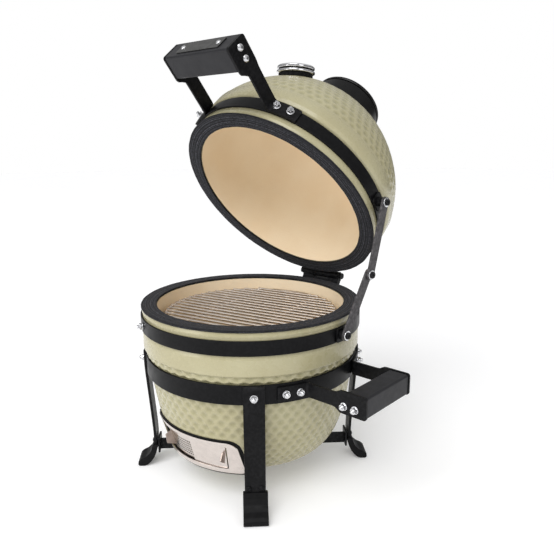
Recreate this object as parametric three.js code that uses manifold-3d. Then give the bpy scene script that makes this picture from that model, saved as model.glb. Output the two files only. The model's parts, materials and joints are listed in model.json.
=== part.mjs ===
// Ceramic charcoal grill on a low band stand. Millimetres, +Z up, -Y is the front.
// The origin is on the floor under the centre of the bowl. The lid is stored open.
import * as THREE from "three";
import { mergeVertices } from "three/addons/utils/BufferGeometryUtils.js";
import Module from "manifold-3d";

const wasm = await Module();
wasm.setup();

// ---- driving dimensions -------------------------------------------------
const SEG = 40;
const GAP = 0.3;
const RIM_Z = 261; // top of the bowl gasket
const LID_Z = 262; // underside of the lid gasket with the lid shut
const MOUTH_R = 137;
const GASKET_R = 160;
const GASKET_T = 3;
const HINGE_Y = 172.9;
const HINGE_Z = 268.7;
const LID_OPEN = 51.14; // degrees
const HINGE_BAND = { rIn: 158.3, rOut: 160.8, z0: 228, z1: 248 };
const STAND_BAND = { rIn: 152.8, rOut: 155.8, z0: 160.8, z1: 187.2 };
const LID_BAND = { rIn: 158.3, rOut: 160.8, z0: LID_Z + 15, z1: LID_Z + 35 };
const LEG_ANGLES = { front_right: 45, back_right: 135, back_left: -135, front_left: -45 };
const LEG_W = 28;
const LEG_T = 4;
const FOOT_W = 33;
const GRATE_TURN = 11.9; // degrees, grate bars from the X axis
const GRATE_Z = 242.8; // centre line of the grate bars
const VENT = { z0: 47, z1: 99, r0: 128, slope: 15 / 52 };
const STAY = { y: 4, z: 238, elbowY: 53.4, elbowZ: 311.7, topY: 10, topZ: 286 };
const STAY_X = { lower: 167.9, upper: 171.5, thick: 3, width: 15 };
const CAP_Z = LID_Z + 190.5;
const THERMO = { r: 113, z: LID_Z + 148, tilt: 45 };

const COLOURS = {
  glaze: [0xb5b48a, 0.18, 0.0],
  raw_ceramic: [0xdcc8a6, 0.9, 0.0],
  felt: [0x1d1d1f, 0.95, 0.0],
  black_coat: [0x17171a, 0.42, 0.3],
  link_steel: [0x4a4b4e, 0.45, 0.6],
  handle: [0x2b2b30, 0.5, 0.0],
  sleeve: [0x141416, 0.6, 0.0],
  fastener: [0xd8d8da, 0.2, 1.0],
  grate_steel: [0xc3c1bd, 0.28, 1.0],
  vent_steel: [0xcfcac4, 0.25, 1.0],
  cast_iron: [0x2a2827, 0.75, 0.4],
  seal: [0x101010, 0.8, 0.0],
  dial: [0xf2f1ec, 0.6, 0.0],
  glass: [0xe8eef0, 0.05, 0.0],
};

// ---- helpers ------------------------------------------------------------
const rad = THREE.MathUtils.degToRad;

// A closed geometry as a manifold solid.
function solid(geometry) {
  const g = geometry.index ? geometry.toNonIndexed() : geometry.clone();
  g.deleteAttribute("normal");
  g.deleteAttribute("uv");
  const merged = mergeVertices(g, 1e-4);
  const source = merged.index.array;
  const tris = [];
  for (let i = 0; i < source.length; i += 3) {
    const [a, b, c] = [source[i], source[i + 1], source[i + 2]];
    if (a !== b && b !== c && c !== a) {
      tris.push(a, b, c);
    }
  }
  const build = (list) => {
    return new wasm.Manifold(
      new wasm.Mesh({
        numProp: 3,
        vertProperties: new Float32Array(merged.attributes.position.array),
        triVerts: new Uint32Array(list),
      }),
    );
  };
  const first = build(tris);
  if (first.volume() > 0) {
    return first;
  }
  const flipped = [];
  for (let i = 0; i < tris.length; i += 3) {
    flipped.push(tris[i], tris[i + 2], tris[i + 1]);
  }
  return build(flipped);
}

function union(list) {
  return list.reduce((sum, part) => sum.add(part));
}

function moved(part, matrix) {
  return part.transform(matrix.elements);
}

function turnZ(part, degrees) {
  return part.rotate([0, 0, degrees]);
}

function shapeOf(points) {
  return new THREE.Shape(points.map(([x, y]) => new THREE.Vector2(x, y)));
}

// Corner points replaced by short arcs.
function rounded(points, radii, steps = 3) {
  const out = [];
  const n = points.length;
  for (let i = 0; i < n; i += 1) {
    const p = new THREE.Vector2(...points[i]);
    const r = Array.isArray(radii) ? radii[i] : radii;
    if (r === 0) {
      out.push([p.x, p.y]);
      continue;
    }
    const before = new THREE.Vector2(...points[(i + n - 1) % n]).sub(p).normalize();
    const after = new THREE.Vector2(...points[(i + 1) % n]).sub(p).normalize();
    const half = Math.acos(THREE.MathUtils.clamp(before.dot(after), -1, 1)) / 2;
    const reach = r / Math.tan(half);
    const a = p.clone().addScaledVector(before, reach);
    const b = p.clone().addScaledVector(after, reach);
    for (let k = 0; k <= steps; k += 1) {
      const t = k / steps;
      const q = a.clone().multiplyScalar((1 - t) ** 2);
      q.addScaledVector(p, 2 * t * (1 - t)).addScaledVector(b, t * t);
      out.push([q.x, q.y]);
    }
  }
  return out;
}

// Outline in X,Y extruded from z0 to z1.
function prismZ(points, z0, z1) {
  const g = new THREE.ExtrudeGeometry(shapeOf(points), { depth: z1 - z0, bevelEnabled: false });
  return solid(g).translate([0, 0, z0]);
}

// Outline in X,Z extruded from y0 to y1.
function prismY(points, y0, y1) {
  const up = prismZ(points, 0, y1 - y0).rotate([90, 0, 0]);
  return up.translate([0, y1, 0]);
}

// Outline in Y,Z extruded from x0 to x1.
function prismX(points, x0, x1) {
  const basis = new THREE.Matrix4();
  basis.makeBasis(
    new THREE.Vector3(0, 1, 0),
    new THREE.Vector3(0, 0, 1),
    new THREE.Vector3(1, 0, 0),
  );
  return moved(prismZ(points, 0, x1 - x0), basis).translate([x0, 0, 0]);
}

function box(x0, x1, y0, y1, z0, z1) {
  const g = new THREE.BoxGeometry(x1 - x0, y1 - y0, z1 - z0);
  return solid(g).translate([(x0 + x1) / 2, (y0 + y1) / 2, (z0 + z1) / 2]);
}

// Profile of [radius, z] turned about Z.
function turned(profile, segments = SEG) {
  const loop = profile.map(([r, z]) => new THREE.Vector2(r, z));
  const onAxis = profile[0][0] === 0 && profile[profile.length - 1][0] === 0;
  if (!onAxis) {
    loop.push(loop[0].clone());
  }
  return solid(new THREE.LatheGeometry(loop, segments).rotateX(Math.PI / 2));
}

function ring(rIn, rOut, z0, z1, segments = SEG) {
  return turned([[rIn, z0], [rOut, z0], [rOut, z1], [rIn, z1]], segments);
}

function rodZ(r, z0, z1, segments = 12) {
  return turned([[0, z0], [r, z0], [r, z1], [0, z1]], segments);
}

// A part built along +Z, stood at a point with its +Z along a direction.
function stood(part, point, direction) {
  const turn = new THREE.Quaternion();
  turn.setFromUnitVectors(
    new THREE.Vector3(0, 0, 1),
    new THREE.Vector3(...direction).normalize(),
  );
  const place = new THREE.Matrix4();
  place.compose(new THREE.Vector3(...point), turn, new THREE.Vector3(1, 1, 1));
  return moved(part, place);
}

// Radial direction at an angle from the front, positive towards the side handle.
function radial(degrees) {
  return [Math.sin(rad(degrees)), -Math.cos(rad(degrees)), 0];
}

function polar(r, degrees, z) {
  const [x, y] = radial(degrees);
  return [r * x, r * y, z];
}

// Curved strip outline in X,Y between two angles from the front.
function arcPoints(r, from, to, steps) {
  const out = [];
  for (let k = 0; k <= steps; k += 1) {
    const [x, y] = polar(r, from + ((to - from) * k) / steps, 0);
    out.push([x, y]);
  }
  return out;
}

// Washer, hex nut and bolt end on a surface.
function nutStack(point, direction) {
  const stack = union([
    rodZ(5.2, GAP, 1.4, 10),
    rodZ(4.4, 1.2, 5.2, 6),
    turned([[0, 5], [2.4, 5], [2.4, 7.8], [1.6, 8.6], [0, 8.6]], 8),
  ]);
  return stood(stack, point, direction);
}

// Threaded rod through a handle bar, with a washer, nut and end at each side.
function throughRod(half, centre, axis) {
  const end = (sign) => {
    const e = union([rodZ(5.2, half, half + 1.1, 10), rodZ(4.4, half + 1, half + 5, 6)]);
    return sign > 0 ? e : e.rotate([180, 0, 0]);
  };
  const rod = union([rodZ(2.4, -half - 8, half + 8, 8), end(1), end(-1)]);
  return stood(rod, centre, axis);
}

function addMesh(target, name, part, colour) {
  const out = part.getMesh();
  const g = new THREE.BufferGeometry();
  const position = new Float32Array(out.numVert * 3);
  for (let i = 0; i < out.numVert; i += 1) {
    for (let k = 0; k < 3; k += 1) {
      position[i * 3 + k] = out.vertProperties[i * out.numProp + k];
    }
  }
  g.setAttribute("position", new THREE.BufferAttribute(position, 3));
  g.setIndex(new THREE.BufferAttribute(new Uint32Array(out.triVerts), 1));
  g.computeVertexNormals();
  const [hex, roughness, metalness] = COLOURS[colour];
  const material = new THREE.MeshStandardMaterial({ color: hex, roughness, metalness });
  if (colour === "glass") {
    material.transparent = true;
    material.opacity = 0.35;
  }
  material.name = colour;
  const mesh = new THREE.Mesh(g, material);
  mesh.name = name;
  target.add(mesh);
}

// Rod through a handle bar with a round head at each side.
function headedRod(half, centre, axis) {
  const head = turned(
    [[0, half], [5, half], [4.6, half + 1.7], [3.2, half + 3], [0, half + 3.4]],
    12,
  );
  const rod = union([rodZ(2.4, -half - 0.5, half + 0.5, 8), head, head.rotate([180, 0, 0])]);
  return stood(rod, centre, axis);
}

const group = new THREE.Group();
group.name = "ceramic_charcoal_grill";

// ---- bowl ---------------------------------------------------------------
const BOWL_OUTER = [
  [0, 38],
  [86, 38],
  [98, 39.5],
  [108, 44.5],
  [119, 54],
  [129, 69],
  [135.6, 85.5],
  [140, 101],
  [144.8, 125],
  [148.6, 149],
  [151, 163],
  [152.4, 175],
  [152.4, 187.6],
  [155, 189.5],
  [155.6, 196],
  [158.9, 200],
  [158.9, 222],
  [157.9, 227],
  [157.9, 250],
  [158.6, 253],
  [157.6, 257.7],
];
const BOWL_INNER = [
  [MOUTH_R, RIM_Z - GASKET_T - GAP],
  [136.6, 215],
  [132, 160],
  [127.5, 130],
  [120, 100],
  [110, 78],
  [96, 63],
  [80, 57],
  [0, 56],
];

const ventR = (z) => VENT.r0 + (z - VENT.z0) * VENT.slope;

// Solid of everything inside the vent's cone, moved in by an offset.
function ventCone(offset, z0, z1, segments = 60) {
  return turned([[0, z0], [ventR(z0) - offset, z0], [ventR(z1) - offset, z1], [0, z1]], segments);
}

// Layer of the vent's cone between two offsets from its outer face.
function ventLayer(outer, inner, z0, z1) {
  return ventCone(outer, z0, z1).subtract(ventCone(inner, z0 - 1, z1 + 1));
}

// Outline in X,Z pushed through the front wall.
function frontPrism(points) {
  return prismY(points, -165, -60);
}

function rect(x0, x1, z0, z1) {
  return [[x0, z0], [x1, z0], [x1, z1], [x0, z1]];
}

const draftHole = frontPrism(rounded(rect(-30, 20, 57, 88), 5));
const pocket = ventCone(-40, 40, 110)
  .subtract(ventCone(5, 39, 111))
  .intersect(frontPrism(rounded(rect(-77, 77, 49.7, 96.3), 4)));
const bowl = turned([...BOWL_OUTER, ...BOWL_INNER]).subtract(draftHole).subtract(pocket);
addMesh(group, "bowl", bowl, "glaze");
addMesh(group, "bowl_gasket", ring(MOUTH_R, GASKET_R, RIM_Z - GASKET_T, RIM_Z), "felt");

// ---- fire bowl and grates -----------------------------------------------
const fireBowl = turned([
  [74, 57.6],
  [82, 58.5],
  [95, 72],
  [108, 90],
  [114, 110],
  [119, 135],
  [124, 165],
  [128, 212],
  [128.5, 237.5],
  [116, 237.5],
  [115, 212],
  [111, 165],
  [105, 130],
  [97, 110],
  [66, 110],
  [66, 101],
  [94, 99],
  [84, 80],
  [74, 66],
]);
const ashNotch = frontPrism(rounded(rect(-28, 18, 50, 86), 5));
addMesh(group, "fire_bowl", fireBowl.subtract(ashNotch), "raw_ceramic");

function charcoalGrate() {
  let disc = rodZ(92, 110.3, 116.3, 32);
  const slots = [];
  for (let k = 0; k < 8; k += 1) {
    const slot = prismZ(rounded([[22, -4], [78, -7], [78, 7], [22, 4]], 3, 2), 105, 120);
    slots.push(turnZ(slot, k * 45));
  }
  disc = disc.subtract(union(slots));
  return disc.subtract(rodZ(8, 105, 120, 10));
}
addMesh(group, "charcoal_grate", charcoalGrate(), "cast_iron");

function cookingGrate() {
  const rimR = 126;
  const wire = [];
  for (let k = 0; k < 6; k += 1) {
    const a = (k / 6) * Math.PI * 2;
    wire.push([rimR + 2.5 * Math.cos(a), GRATE_Z - 2.2 + 2.5 * Math.sin(a)]);
  }
  const parts = [turned(wire, SEG)];
  for (let k = -9; k <= 9; k += 1) {
    const y = k * 12.6;
    const half = Math.sqrt(rimR ** 2 - y ** 2);
    parts.push(stood(rodZ(2, -half, half, 6), [0, y, GRATE_Z], [1, 0, 0]));
  }
  for (const x of [-52, 52]) {
    const half = Math.sqrt(rimR ** 2 - x ** 2);
    parts.push(stood(rodZ(2, -half, half, 6), [x, 0, GRATE_Z - 3], [0, 1, 0]));
  }
  return turnZ(union(parts), GRATE_TURN);
}
addMesh(group, "cooking_grate", cookingGrate(), "grate_steel");

// ---- bands --------------------------------------------------------------
const band = (b) => ring(b.rIn, b.rOut, b.z0, b.z1);
addMesh(group, "hinge_band", band(HINGE_BAND), "black_coat");
addMesh(group, "stand_band", band(STAND_BAND), "black_coat");
addMesh(group, "band_bolt", nutStack(polar(160.8, -25, 238), radial(-25)), "fastener");

// ---- legs, feet and lower bars --------------------------------------------
// Leg side view as [radius, z], front face then back face.
const LEG_LINE = [
  [158.2, 188],
  [157.8, 160],
  [154.2, 110],
  [150.8, 62],
  [150.2, 40],
  [151.6, 27],
  [156.2, 17],
  [163.4, 10.4],
  [171.5, 6.3],
];

function offsetLine(line, distance) {
  return line.map((p, i) => {
    const a = line[Math.max(i - 1, 0)];
    const b = line[Math.min(i + 1, line.length - 1)];
    const length = Math.hypot(b[0] - a[0], b[1] - a[1]);
    const nx = (b[1] - a[1]) / length;
    const nz = -(b[0] - a[0]) / length;
    return [p[0] + nx * distance, p[1] + nz * distance];
  });
}

// The line with its last point moved on along its last direction.
function carriedOn(line, distance) {
  const [a, b] = line.slice(-2);
  const length = Math.hypot(b[0] - a[0], b[1] - a[1]);
  const end = b.map((v, k) => v + ((v - a[k]) / length) * distance);
  return [...line.slice(0, -1), end];
}

// Outline in radius,Z made into a strap of a given width, standing at the angle 0 (front).
function radialStrap(points, width) {
  const outline = points.map(([r, z]) => [-r, z]);
  return prismX(outline, -width / 2, width / 2);
}

const legOuter = offsetLine(LEG_LINE, -LEG_T / 2);
const legInner = offsetLine(LEG_LINE, LEG_T / 2);
const strapLeg = radialStrap([...legOuter, ...legInner.reverse()], LEG_W);
const legScrew = (x) => {
  const head = turned([[0, 0], [4.2, 0], [3.6, 2], [2, 3], [0, 3.3]], 10);
  return stood(head, [x, -152.2, 40], [0, -1, 0]);
};
const leg = union([strapLeg, legScrew(-8.5), legScrew(8.5)]);

function footSleeve() {
  const outline = [
    [147.6, 35],
    [147.6, 30],
    [149.2, 22],
    [153.2, 13],
    [158.2, 6.2],
    [163.5, 1.6],
    [168, 0],
    [176, 0],
    [178, 2.5],
    [177.4, 7.5],
    [173.5, 11],
    [166.2, 14.4],
    [160, 20],
    [156.2, 27.6],
    [154.9, 35],
  ];
  const sleeve = radialStrap(outline, FOOT_W);
  const slotOuter = offsetLine(LEG_LINE, -LEG_T / 2 - 0.5);
  const slotInner = offsetLine(LEG_LINE, LEG_T / 2 + 0.5);
  const slotPoints = [...carriedOn(slotOuter, 0.6), ...carriedOn(slotInner, 0.6).reverse()];
  const slot = radialStrap(slotPoints, LEG_W + 2 * GAP);
  return sleeve.subtract(slot);
}
const sleeve = footSleeve();

for (const [where, angle] of Object.entries(LEG_ANGLES)) {
  addMesh(group, `leg_${where}`, turnZ(leg, angle), "black_coat");
  addMesh(group, `foot_${where}`, turnZ(sleeve, angle), "sleeve");
  const bolt = nutStack(polar(160.05, angle, 172), radial(angle));
  addMesh(group, `leg_bolt_${where}`, bolt, "fastener");
}

// Lower bar on edge between two opposite legs, half lapped at the middle.
function lowerBar(notchLow) {
  const end = (sign) => box(-13, 13, sign > 0 ? 143.6 : -146.6, sign > 0 ? 146.6 : -143.6, 20, 43);
  const bar = union([box(-1.5, 1.5, -145, 145, 20, 37.6), end(1), end(-1)]);
  const notch = box(-2, 2, -2, 2, notchLow ? 15 : 28.65, notchLow ? 28.95 : 45);
  return bar.subtract(notch);
}
addMesh(group, "lower_bar_a", turnZ(lowerBar(true), 45), "black_coat");
addMesh(group, "lower_bar_b", turnZ(lowerBar(false), -45), "black_coat");

// ---- side handle ----------------------------------------------------------
const SIDE = { plane: 48.8, t: 3, x0: 210, x1: 239.5, z0: 159.5, z1: 187.5, rodZ: 169 };

function sideArm() {
  const r = STAND_BAND.rOut + GAP;
  const bend = THREE.MathUtils.radToDeg(Math.acos((SIDE.plane + 1) / (r + 1.5)));
  const inner = arcPoints(r, 56, bend, 5);
  const outer = arcPoints(r + SIDE.t, bend - 1.2, 56, 5);
  const y0 = -SIDE.plane - SIDE.t;
  const y1 = -SIDE.plane;
  const innerEnd = inner[inner.length - 1];
  const plan = [
    ...inner,
    [innerEnd[0] + 2.5, y1],
    [240.5, y1],
    [240.5, y0],
    [outer[0][0] + 2.8, y0],
    ...outer,
  ];
  const side = rounded(
    [
      [120, 164.4],
      [192, 164.4],
      [203, 158.5],
      [240.5, 158.5],
      [240.5, 188.5],
      [203, 188.5],
      [192, 183.8],
      [120, 183.8],
    ],
    [0, 3, 3, 4, 4, 3, 3, 0],
  );
  const arm = prismZ(plan, 150, 200).intersect(prismY(side, -130, -20));
  const holes = [208, 224.5].map((x) => stood(rodZ(2.7, -5, 5), [x, -50.3, SIDE.rodZ], [0, 1, 0]));
  return arm.subtract(union(holes));
}
const sideArmFront = sideArm();
addMesh(group, "side_handle_arm_front", sideArmFront, "black_coat");
addMesh(group, "side_handle_arm_back", sideArmFront.mirror([0, 1, 0]), "black_coat");

function sideBar() {
  const outline = rounded(rect(SIDE.x0, SIDE.x1, SIDE.z0, SIDE.z1), 3);
  const bar = prismY(outline, -SIDE.plane + GAP, SIDE.plane - GAP);
  const holes = [208, 224.5].map((x) => stood(rodZ(2.7, -60, 60), [x, 0, SIDE.rodZ], [0, 1, 0]));
  return bar.subtract(union(holes));
}
addMesh(group, "side_handle_bar", sideBar(), "handle");
for (const [name, x] of [["inner", 208], ["outer", 224.5]]) {
  const rod = throughRod(SIDE.plane + SIDE.t + GAP, [x, 0, SIDE.rodZ], [0, 1, 0]);
  addMesh(group, `side_handle_rod_${name}`, rod, "fastener");
}
for (const [name, angle] of [["a", 60], ["b", 67], ["c", 113], ["d", 120]]) {
  const bolt = nutStack(polar(159.1, angle, 174), radial(angle));
  addMesh(group, `side_flange_bolt_${name}`, bolt, "fastener");
}

// ---- draft vent -------------------------------------------------------------
const frameOutline = rounded(rect(-81, 81, VENT.z0, VENT.z1), [4, 4, 11, 11], 4);
// The window's ends lean with the cone, so the sliding plates' edges run parallel to them.
const windowOutline = rounded([[-67.9, 54], [63.8, 54], [69.2, 92.5], [-73.7, 92.5]], 3);
const ventFrame = ventLayer(0, 1.5, VENT.z0, VENT.z1)
  .intersect(frontPrism(frameOutline))
  .subtract(frontPrism(windowOutline));
addMesh(group, "vent_frame", ventFrame, "vent_steel");

function ventSeal() {
  const raised = BOWL_OUTER.map(([r, z]) => [r === 0 ? 0 : r + GAP, z - GAP]);
  const bowlBody = turned([...raised, [0, 257.4]]);
  const outline = frontPrism(rounded(rect(-84, 84, 44, 102), [5, 5, 13, 13], 4));
  const inside = frontPrism(rounded(rect(-76.6, 76.6, 50.1, 95.9), 4));
  return ventCone(1.8, 44, 102)
    .intersect(outline)
    .subtract(inside)
    .subtract(bowlBody);
}
addMesh(group, "vent_seal", ventSeal(), "seal");

// Sliding plate between two angles, with a fin to pull it by. low and high are the heights of the
// fin's two ends, at the plate and at the tip.
function ventSlider(outer, inner, from, to, fin, mesh) {
  const wedge = [[0, 0], ...arcPoints(220, from, to, 4)];
  let plate = ventLayer(outer, inner, 51.5, 94.5).intersect(prismZ(wedge, 40, 110));
  if (mesh) {
    const cuts = [];
    for (let row = 0; row < 4; row += 1) {
      for (let k = 0; k < 5; k += 1) {
        const angle = from + 3.4 + k * 3.8 + (row % 2) * 1.9;
        const z = 61 + row * 8;
        cuts.push(stood(rodZ(1.7, 100, 160, 6), [0, 0, z], radial(angle)));
      }
    }
    plate = plate.subtract(union(cuts));
  }
  const root = ventR(73) - inner + 0.3;
  const slant = (VENT.slope * (fin.high[0] - fin.low[0])) / 2;
  const finOutline = [
    [root + slant, fin.high[0]],
    [root - slant, fin.low[0]],
    [root + 10, fin.low[1]],
    [root + 12, fin.high[1]],
  ];
  const tab = turnZ(radialStrap(finOutline, 1.4), fin.angle);
  return plate.add(tab);
}
const DOOR_FIN = { angle: 26.6, low: [62, 71], high: [82, 73.5] };
const SCREEN_FIN = { angle: -16, low: [61, 66], high: [85, 80] };
addMesh(group, "draft_door", ventSlider(1.9, 2.9, 5, 28.5, DOOR_FIN, false), "vent_steel");
addMesh(group, "ember_screen", ventSlider(3.3, 4.3, -17, 6.5, SCREEN_FIN, true), "vent_steel");

// ---- hinge ------------------------------------------------------------------
function circlePoints(cy, cz, r, steps) {
  const out = [];
  for (let k = 0; k < steps; k += 1) {
    const a = (k / steps) * Math.PI * 2;
    out.push([cy + r * Math.cos(a), cz + r * Math.sin(a)]);
  }
  return out;
}

const hingeTube = (r, x0, x1) => prismX(circlePoints(HINGE_Y, HINGE_Z, r, 16), x0, x1);
const bandPad = (z0, z1) => {
  const outline = [...arcPoints(161.1, 166, 194, 6), ...arcPoints(164.1, 194, 166, 6)];
  return prismZ(outline, z0, z1);
};

function hingeBaseLeaf() {
  const strut = prismX([[161.6, 246], [164.6, 240], [177.5, 263], [170, 266]], -37, 37);
  const leaf = union([bandPad(229, 247), strut, hingeTube(6.5, -37, 37)]);
  const notch = prismX(circlePoints(HINGE_Y, HINGE_Z, 8.4, 16), -15, 15);
  return union([leaf.subtract(notch), hingeTube(3, -41, 41), hingeTube(5, -42, -37.2), hingeTube(5, 37.2, 42)]);
}
addMesh(group, "hinge_base_leaf", hingeBaseLeaf(), "black_coat");

function hingeLidLeaf() {
  const strut = prismX([[161.4, 281], [164.6, 285], [178, 274], [171, 270]], -14.5, 14.5);
  const pad = bandPad(LID_BAND.z0 + 1, LID_BAND.z1 - 1);
  const leaf = union([pad, strut, hingeTube(6.5, -14.5, 14.5)]);
  return leaf.subtract(hingeTube(3.35, -20, 20));
}

// ---- stays --------------------------------------------------------------------
const rodX = (r, x0, x1, y, z, segments = 12) => stood(rodZ(r, x0, x1, segments), [0, y, z], [1, 0, 0]);

function stayBracket(y, z, faceX, linkX) {
  const pad = prismX(rounded(rect(y - 11, y + 11, z - 9.5, z + 9.5), 3), faceX + 0.2, faceX + 2.8);
  return union([
    pad,
    rodX(6.5, faceX + 2, linkX - 0.3, y, z),
    rodX(3, linkX - 1, linkX + 7, y, z),
    rodX(5.2, linkX + STAY_X.thick + 0.3, linkX + STAY_X.thick + 4, y, z, 6),
  ]);
}
addMesh(group, "stay_bracket_low", stayBracket(STAY.y, STAY.z, 161, STAY_X.lower), "black_coat");

// Flat link between two pivots, bored at the first pivot, with a rivet head at the second.
function stayLink(x, from, to, headX0, headX1) {
  const dy = to[0] - from[0];
  const dz = to[1] - from[1];
  const length = Math.hypot(dy, dz);
  const w = STAY_X.width / 2;
  const outline = [];
  for (let k = 0; k <= 6; k += 1) {
    const a = Math.PI / 2 + (k / 6) * Math.PI;
    outline.push([w * Math.cos(a), w * Math.sin(a)]);
  }
  for (let k = 0; k <= 6; k += 1) {
    const a = -Math.PI / 2 + (k / 6) * Math.PI;
    outline.push([length + w * Math.cos(a), w * Math.sin(a)]);
  }
  const angle = Math.atan2(dz, dy);
  const placed = outline.map(([u, v]) => [
    from[0] + u * Math.cos(angle) - v * Math.sin(angle),
    from[1] + u * Math.sin(angle) + v * Math.cos(angle),
  ]);
  const bar = prismX(placed, x, x + STAY_X.thick);
  const bored = bar.subtract(rodX(3.3, x - 1, x + 5, from[0], from[1]));
  return bored.add(rodX(5.2, headX0, headX1, to[0], to[1], 6));
}
const elbow = [STAY.elbowY, STAY.elbowZ];
const lowerLink = stayLink(
  STAY_X.lower,
  [STAY.y, STAY.z],
  elbow,
  STAY_X.lower - 2.5,
  STAY_X.lower + 1,
);
addMesh(group, "stay_lower_link", lowerLink, "link_steel");

// Point of the shut lid carried to the open pose.
function opened(y, z) {
  const c = Math.cos(rad(LID_OPEN));
  const s = Math.sin(rad(LID_OPEN));
  const dy = y - HINGE_Y;
  const dz = z - HINGE_Z;
  return [HINGE_Y + c * dy + s * dz, HINGE_Z - s * dy + c * dz];
}
const upperLink = stayLink(
  STAY_X.upper,
  opened(STAY.topY, STAY.topZ),
  elbow,
  STAY_X.upper + 2,
  STAY_X.upper + STAY_X.thick + 4,
);
addMesh(group, "stay_upper_link", upperLink, "link_steel");

// ---- lid, built shut and carried open ---------------------------------------------
const lidParts = [];
const addLid = (name, part, colour) => lidParts.push([name, part, colour]);

const DOME_OUTER = [
  [157.6, 3.3],
  [158.6, 8],
  [157.9, 13.5],
  [157.9, 36.5],
  [160.8, 38],
  [162.2, 44],
  [161.6, 58],
  [157.4, 75],
  [152, 90],
  [144.6, 105],
  [135, 120],
  [123.5, 135],
  [109, 150],
  [91.5, 164],
  [70, 176],
  [52, 183],
  [48, 187],
  [48, 198],
];
const DOME_INNER = [
  [29, 198],
  [29, 170],
  [48, 165],
  [72, 155],
  [92, 142],
  [108, 125],
  [121, 103],
  [130, 78],
  [135, 50],
  [MOUTH_R, 24],
  [MOUTH_R, 3.3],
];
const thermoAxis = [0, -Math.sin(rad(THERMO.tilt)), Math.cos(rad(THERMO.tilt))];
const thermoAt = [0, -THERMO.r, THERMO.z];
const domeProfile = [...DOME_OUTER, ...DOME_INNER].map(([r, z]) => [r, z + LID_Z]);
const dome = turned(domeProfile).subtract(stood(rodZ(4.2, -40, 20), thermoAt, thermoAxis));
addLid("lid_dome", dome, "glaze");
addLid("lid_gasket", ring(MOUTH_R, GASKET_R, LID_Z, LID_Z + GASKET_T), "felt");
addLid("lid_band", band(LID_BAND), "black_coat");
addLid("hinge_lid_leaf", hingeLidLeaf(), "black_coat");
addLid("stay_bracket_high", stayBracket(STAY.topY, STAY.topZ, 161, STAY_X.upper), "black_coat");

const TOP = { plane: 58.5, t: 3, y0: -248.3, y1: -215.2, z0: 264.8, z1: 298.3, rodZ: 283 };
const TOP_RODS = [-223, -238];

function lidArm() {
  const r = LID_BAND.rOut + GAP;
  const bend = THREE.MathUtils.radToDeg(Math.asin((TOP.plane + 1) / (r + 1.5)));
  const inner = arcPoints(r, 36, bend, 5);
  const outer = arcPoints(r + TOP.t, bend + 1.2, 36, 5);
  const x0 = TOP.plane;
  const x1 = TOP.plane + TOP.t;
  const innerEnd = inner[inner.length - 1];
  const plan = [
    ...inner,
    [x0, innerEnd[1] - 2.5],
    [x0, -248.5],
    [x1, -248.5],
    [x1, outer[0][1] - 2.8],
    ...outer,
  ];
  const side = rounded(
    [
      [-120, 276],
      [-120, 297],
      [-202, 297],
      [-211, 298.5],
      [-248.5, 298.5],
      [-248.5, 264.5],
      [-213, 264.5],
      [-204, 276],
    ],
    [0, 0, 2, 2, 4, 4, 3, 3],
  );
  const arm = prismZ(plan, 255, 310).intersect(prismX(side, 20, 130));
  const holes = TOP_RODS.map((y) => stood(rodZ(2.7, -5, 5), [60, y, TOP.rodZ], [1, 0, 0]));
  return arm.subtract(union(holes));
}
const armRight = lidArm();
addLid("lid_handle_arm_right", armRight, "black_coat");
addLid("lid_handle_arm_left", armRight.mirror([1, 0, 0]), "black_coat");

function lidBar() {
  const outline = rounded(
    [[TOP.y0, TOP.z0], [TOP.y1, TOP.z0], [TOP.y1, TOP.z1], [TOP.y0, TOP.z1]],
    3,
  );
  const bar = prismX(outline, -TOP.plane + GAP, TOP.plane - GAP);
  const holes = TOP_RODS.map((y) => stood(rodZ(2.7, -70, 70), [0, y, TOP.rodZ], [1, 0, 0]));
  return bar.subtract(union(holes));
}
addLid("lid_handle_bar", lidBar(), "handle");
for (const [name, y] of [["inner", TOP_RODS[0]], ["outer", TOP_RODS[1]]]) {
  const rod = headedRod(TOP.plane + TOP.t + GAP, [0, y, TOP.rodZ], [1, 0, 0]);
  addLid(`lid_handle_rod_${name}`, rod, "fastener");
}

function handlePlate() {
  const plate = prismY(rounded(rect(-40, 40, 271, 292), 2.5), TOP.y0 - 1.6, TOP.y0 - GAP);
  const screw = (x) => {
    const head = turned([[0, 0], [4, 0], [3.4, 1.6], [0, 2.4]], 12);
    return stood(head, [x, TOP.y0 - 1.3, 281.5], [0, -1, 0]);
  };
  return union([plate, screw(-33), screw(33)]);
}
addLid("lid_handle_plate", handlePlate(), "fastener");
for (const [name, angle] of [["a", -31.5], ["b", -24.5], ["c", 24.5], ["d", 31.5]]) {
  addLid(`lid_flange_bolt_${name}`, nutStack(polar(164.1, angle, 287), radial(angle)), "fastener");
}

// ---- thermometer -----------------------------------------------------------------
const thermoCase = union([
  turned(
    [
      [0, 2],
      [24, 2],
      [28.5, 4.5],
      [28.5, 8.4],
      [27, 9.2],
      [27.6, 10],
      [27.6, 13.6],
      [25.8, 15],
      [24.2, 15],
      [24.2, 10],
      [0, 10],
    ],
    28,
  ),
  turned([[0, 0.3], [13, 0.3], [13, 2.2], [0, 2.2]], 20),
  turned([[0, -46], [2, -46], [3.2, -44], [3.2, 0.5], [0, 0.5]], 12),
]);
const thermoDial = turned([[0, 10.3], [23.9, 10.3], [23.9, 11], [2.2, 11], [2.2, 11.8], [0, 11.8]], 28);
const thermoGlass = turned([[0, 12.4], [23.9, 12.4], [23.9, 13.8], [0, 14.2]], 28);
addLid("thermometer_case", stood(thermoCase, thermoAt, thermoAxis), "fastener");
addLid("thermometer_dial", stood(thermoDial, thermoAt, thermoAxis), "dial");
addLid("thermometer_glass", stood(thermoGlass, thermoAt, thermoAxis), "glass");

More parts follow.
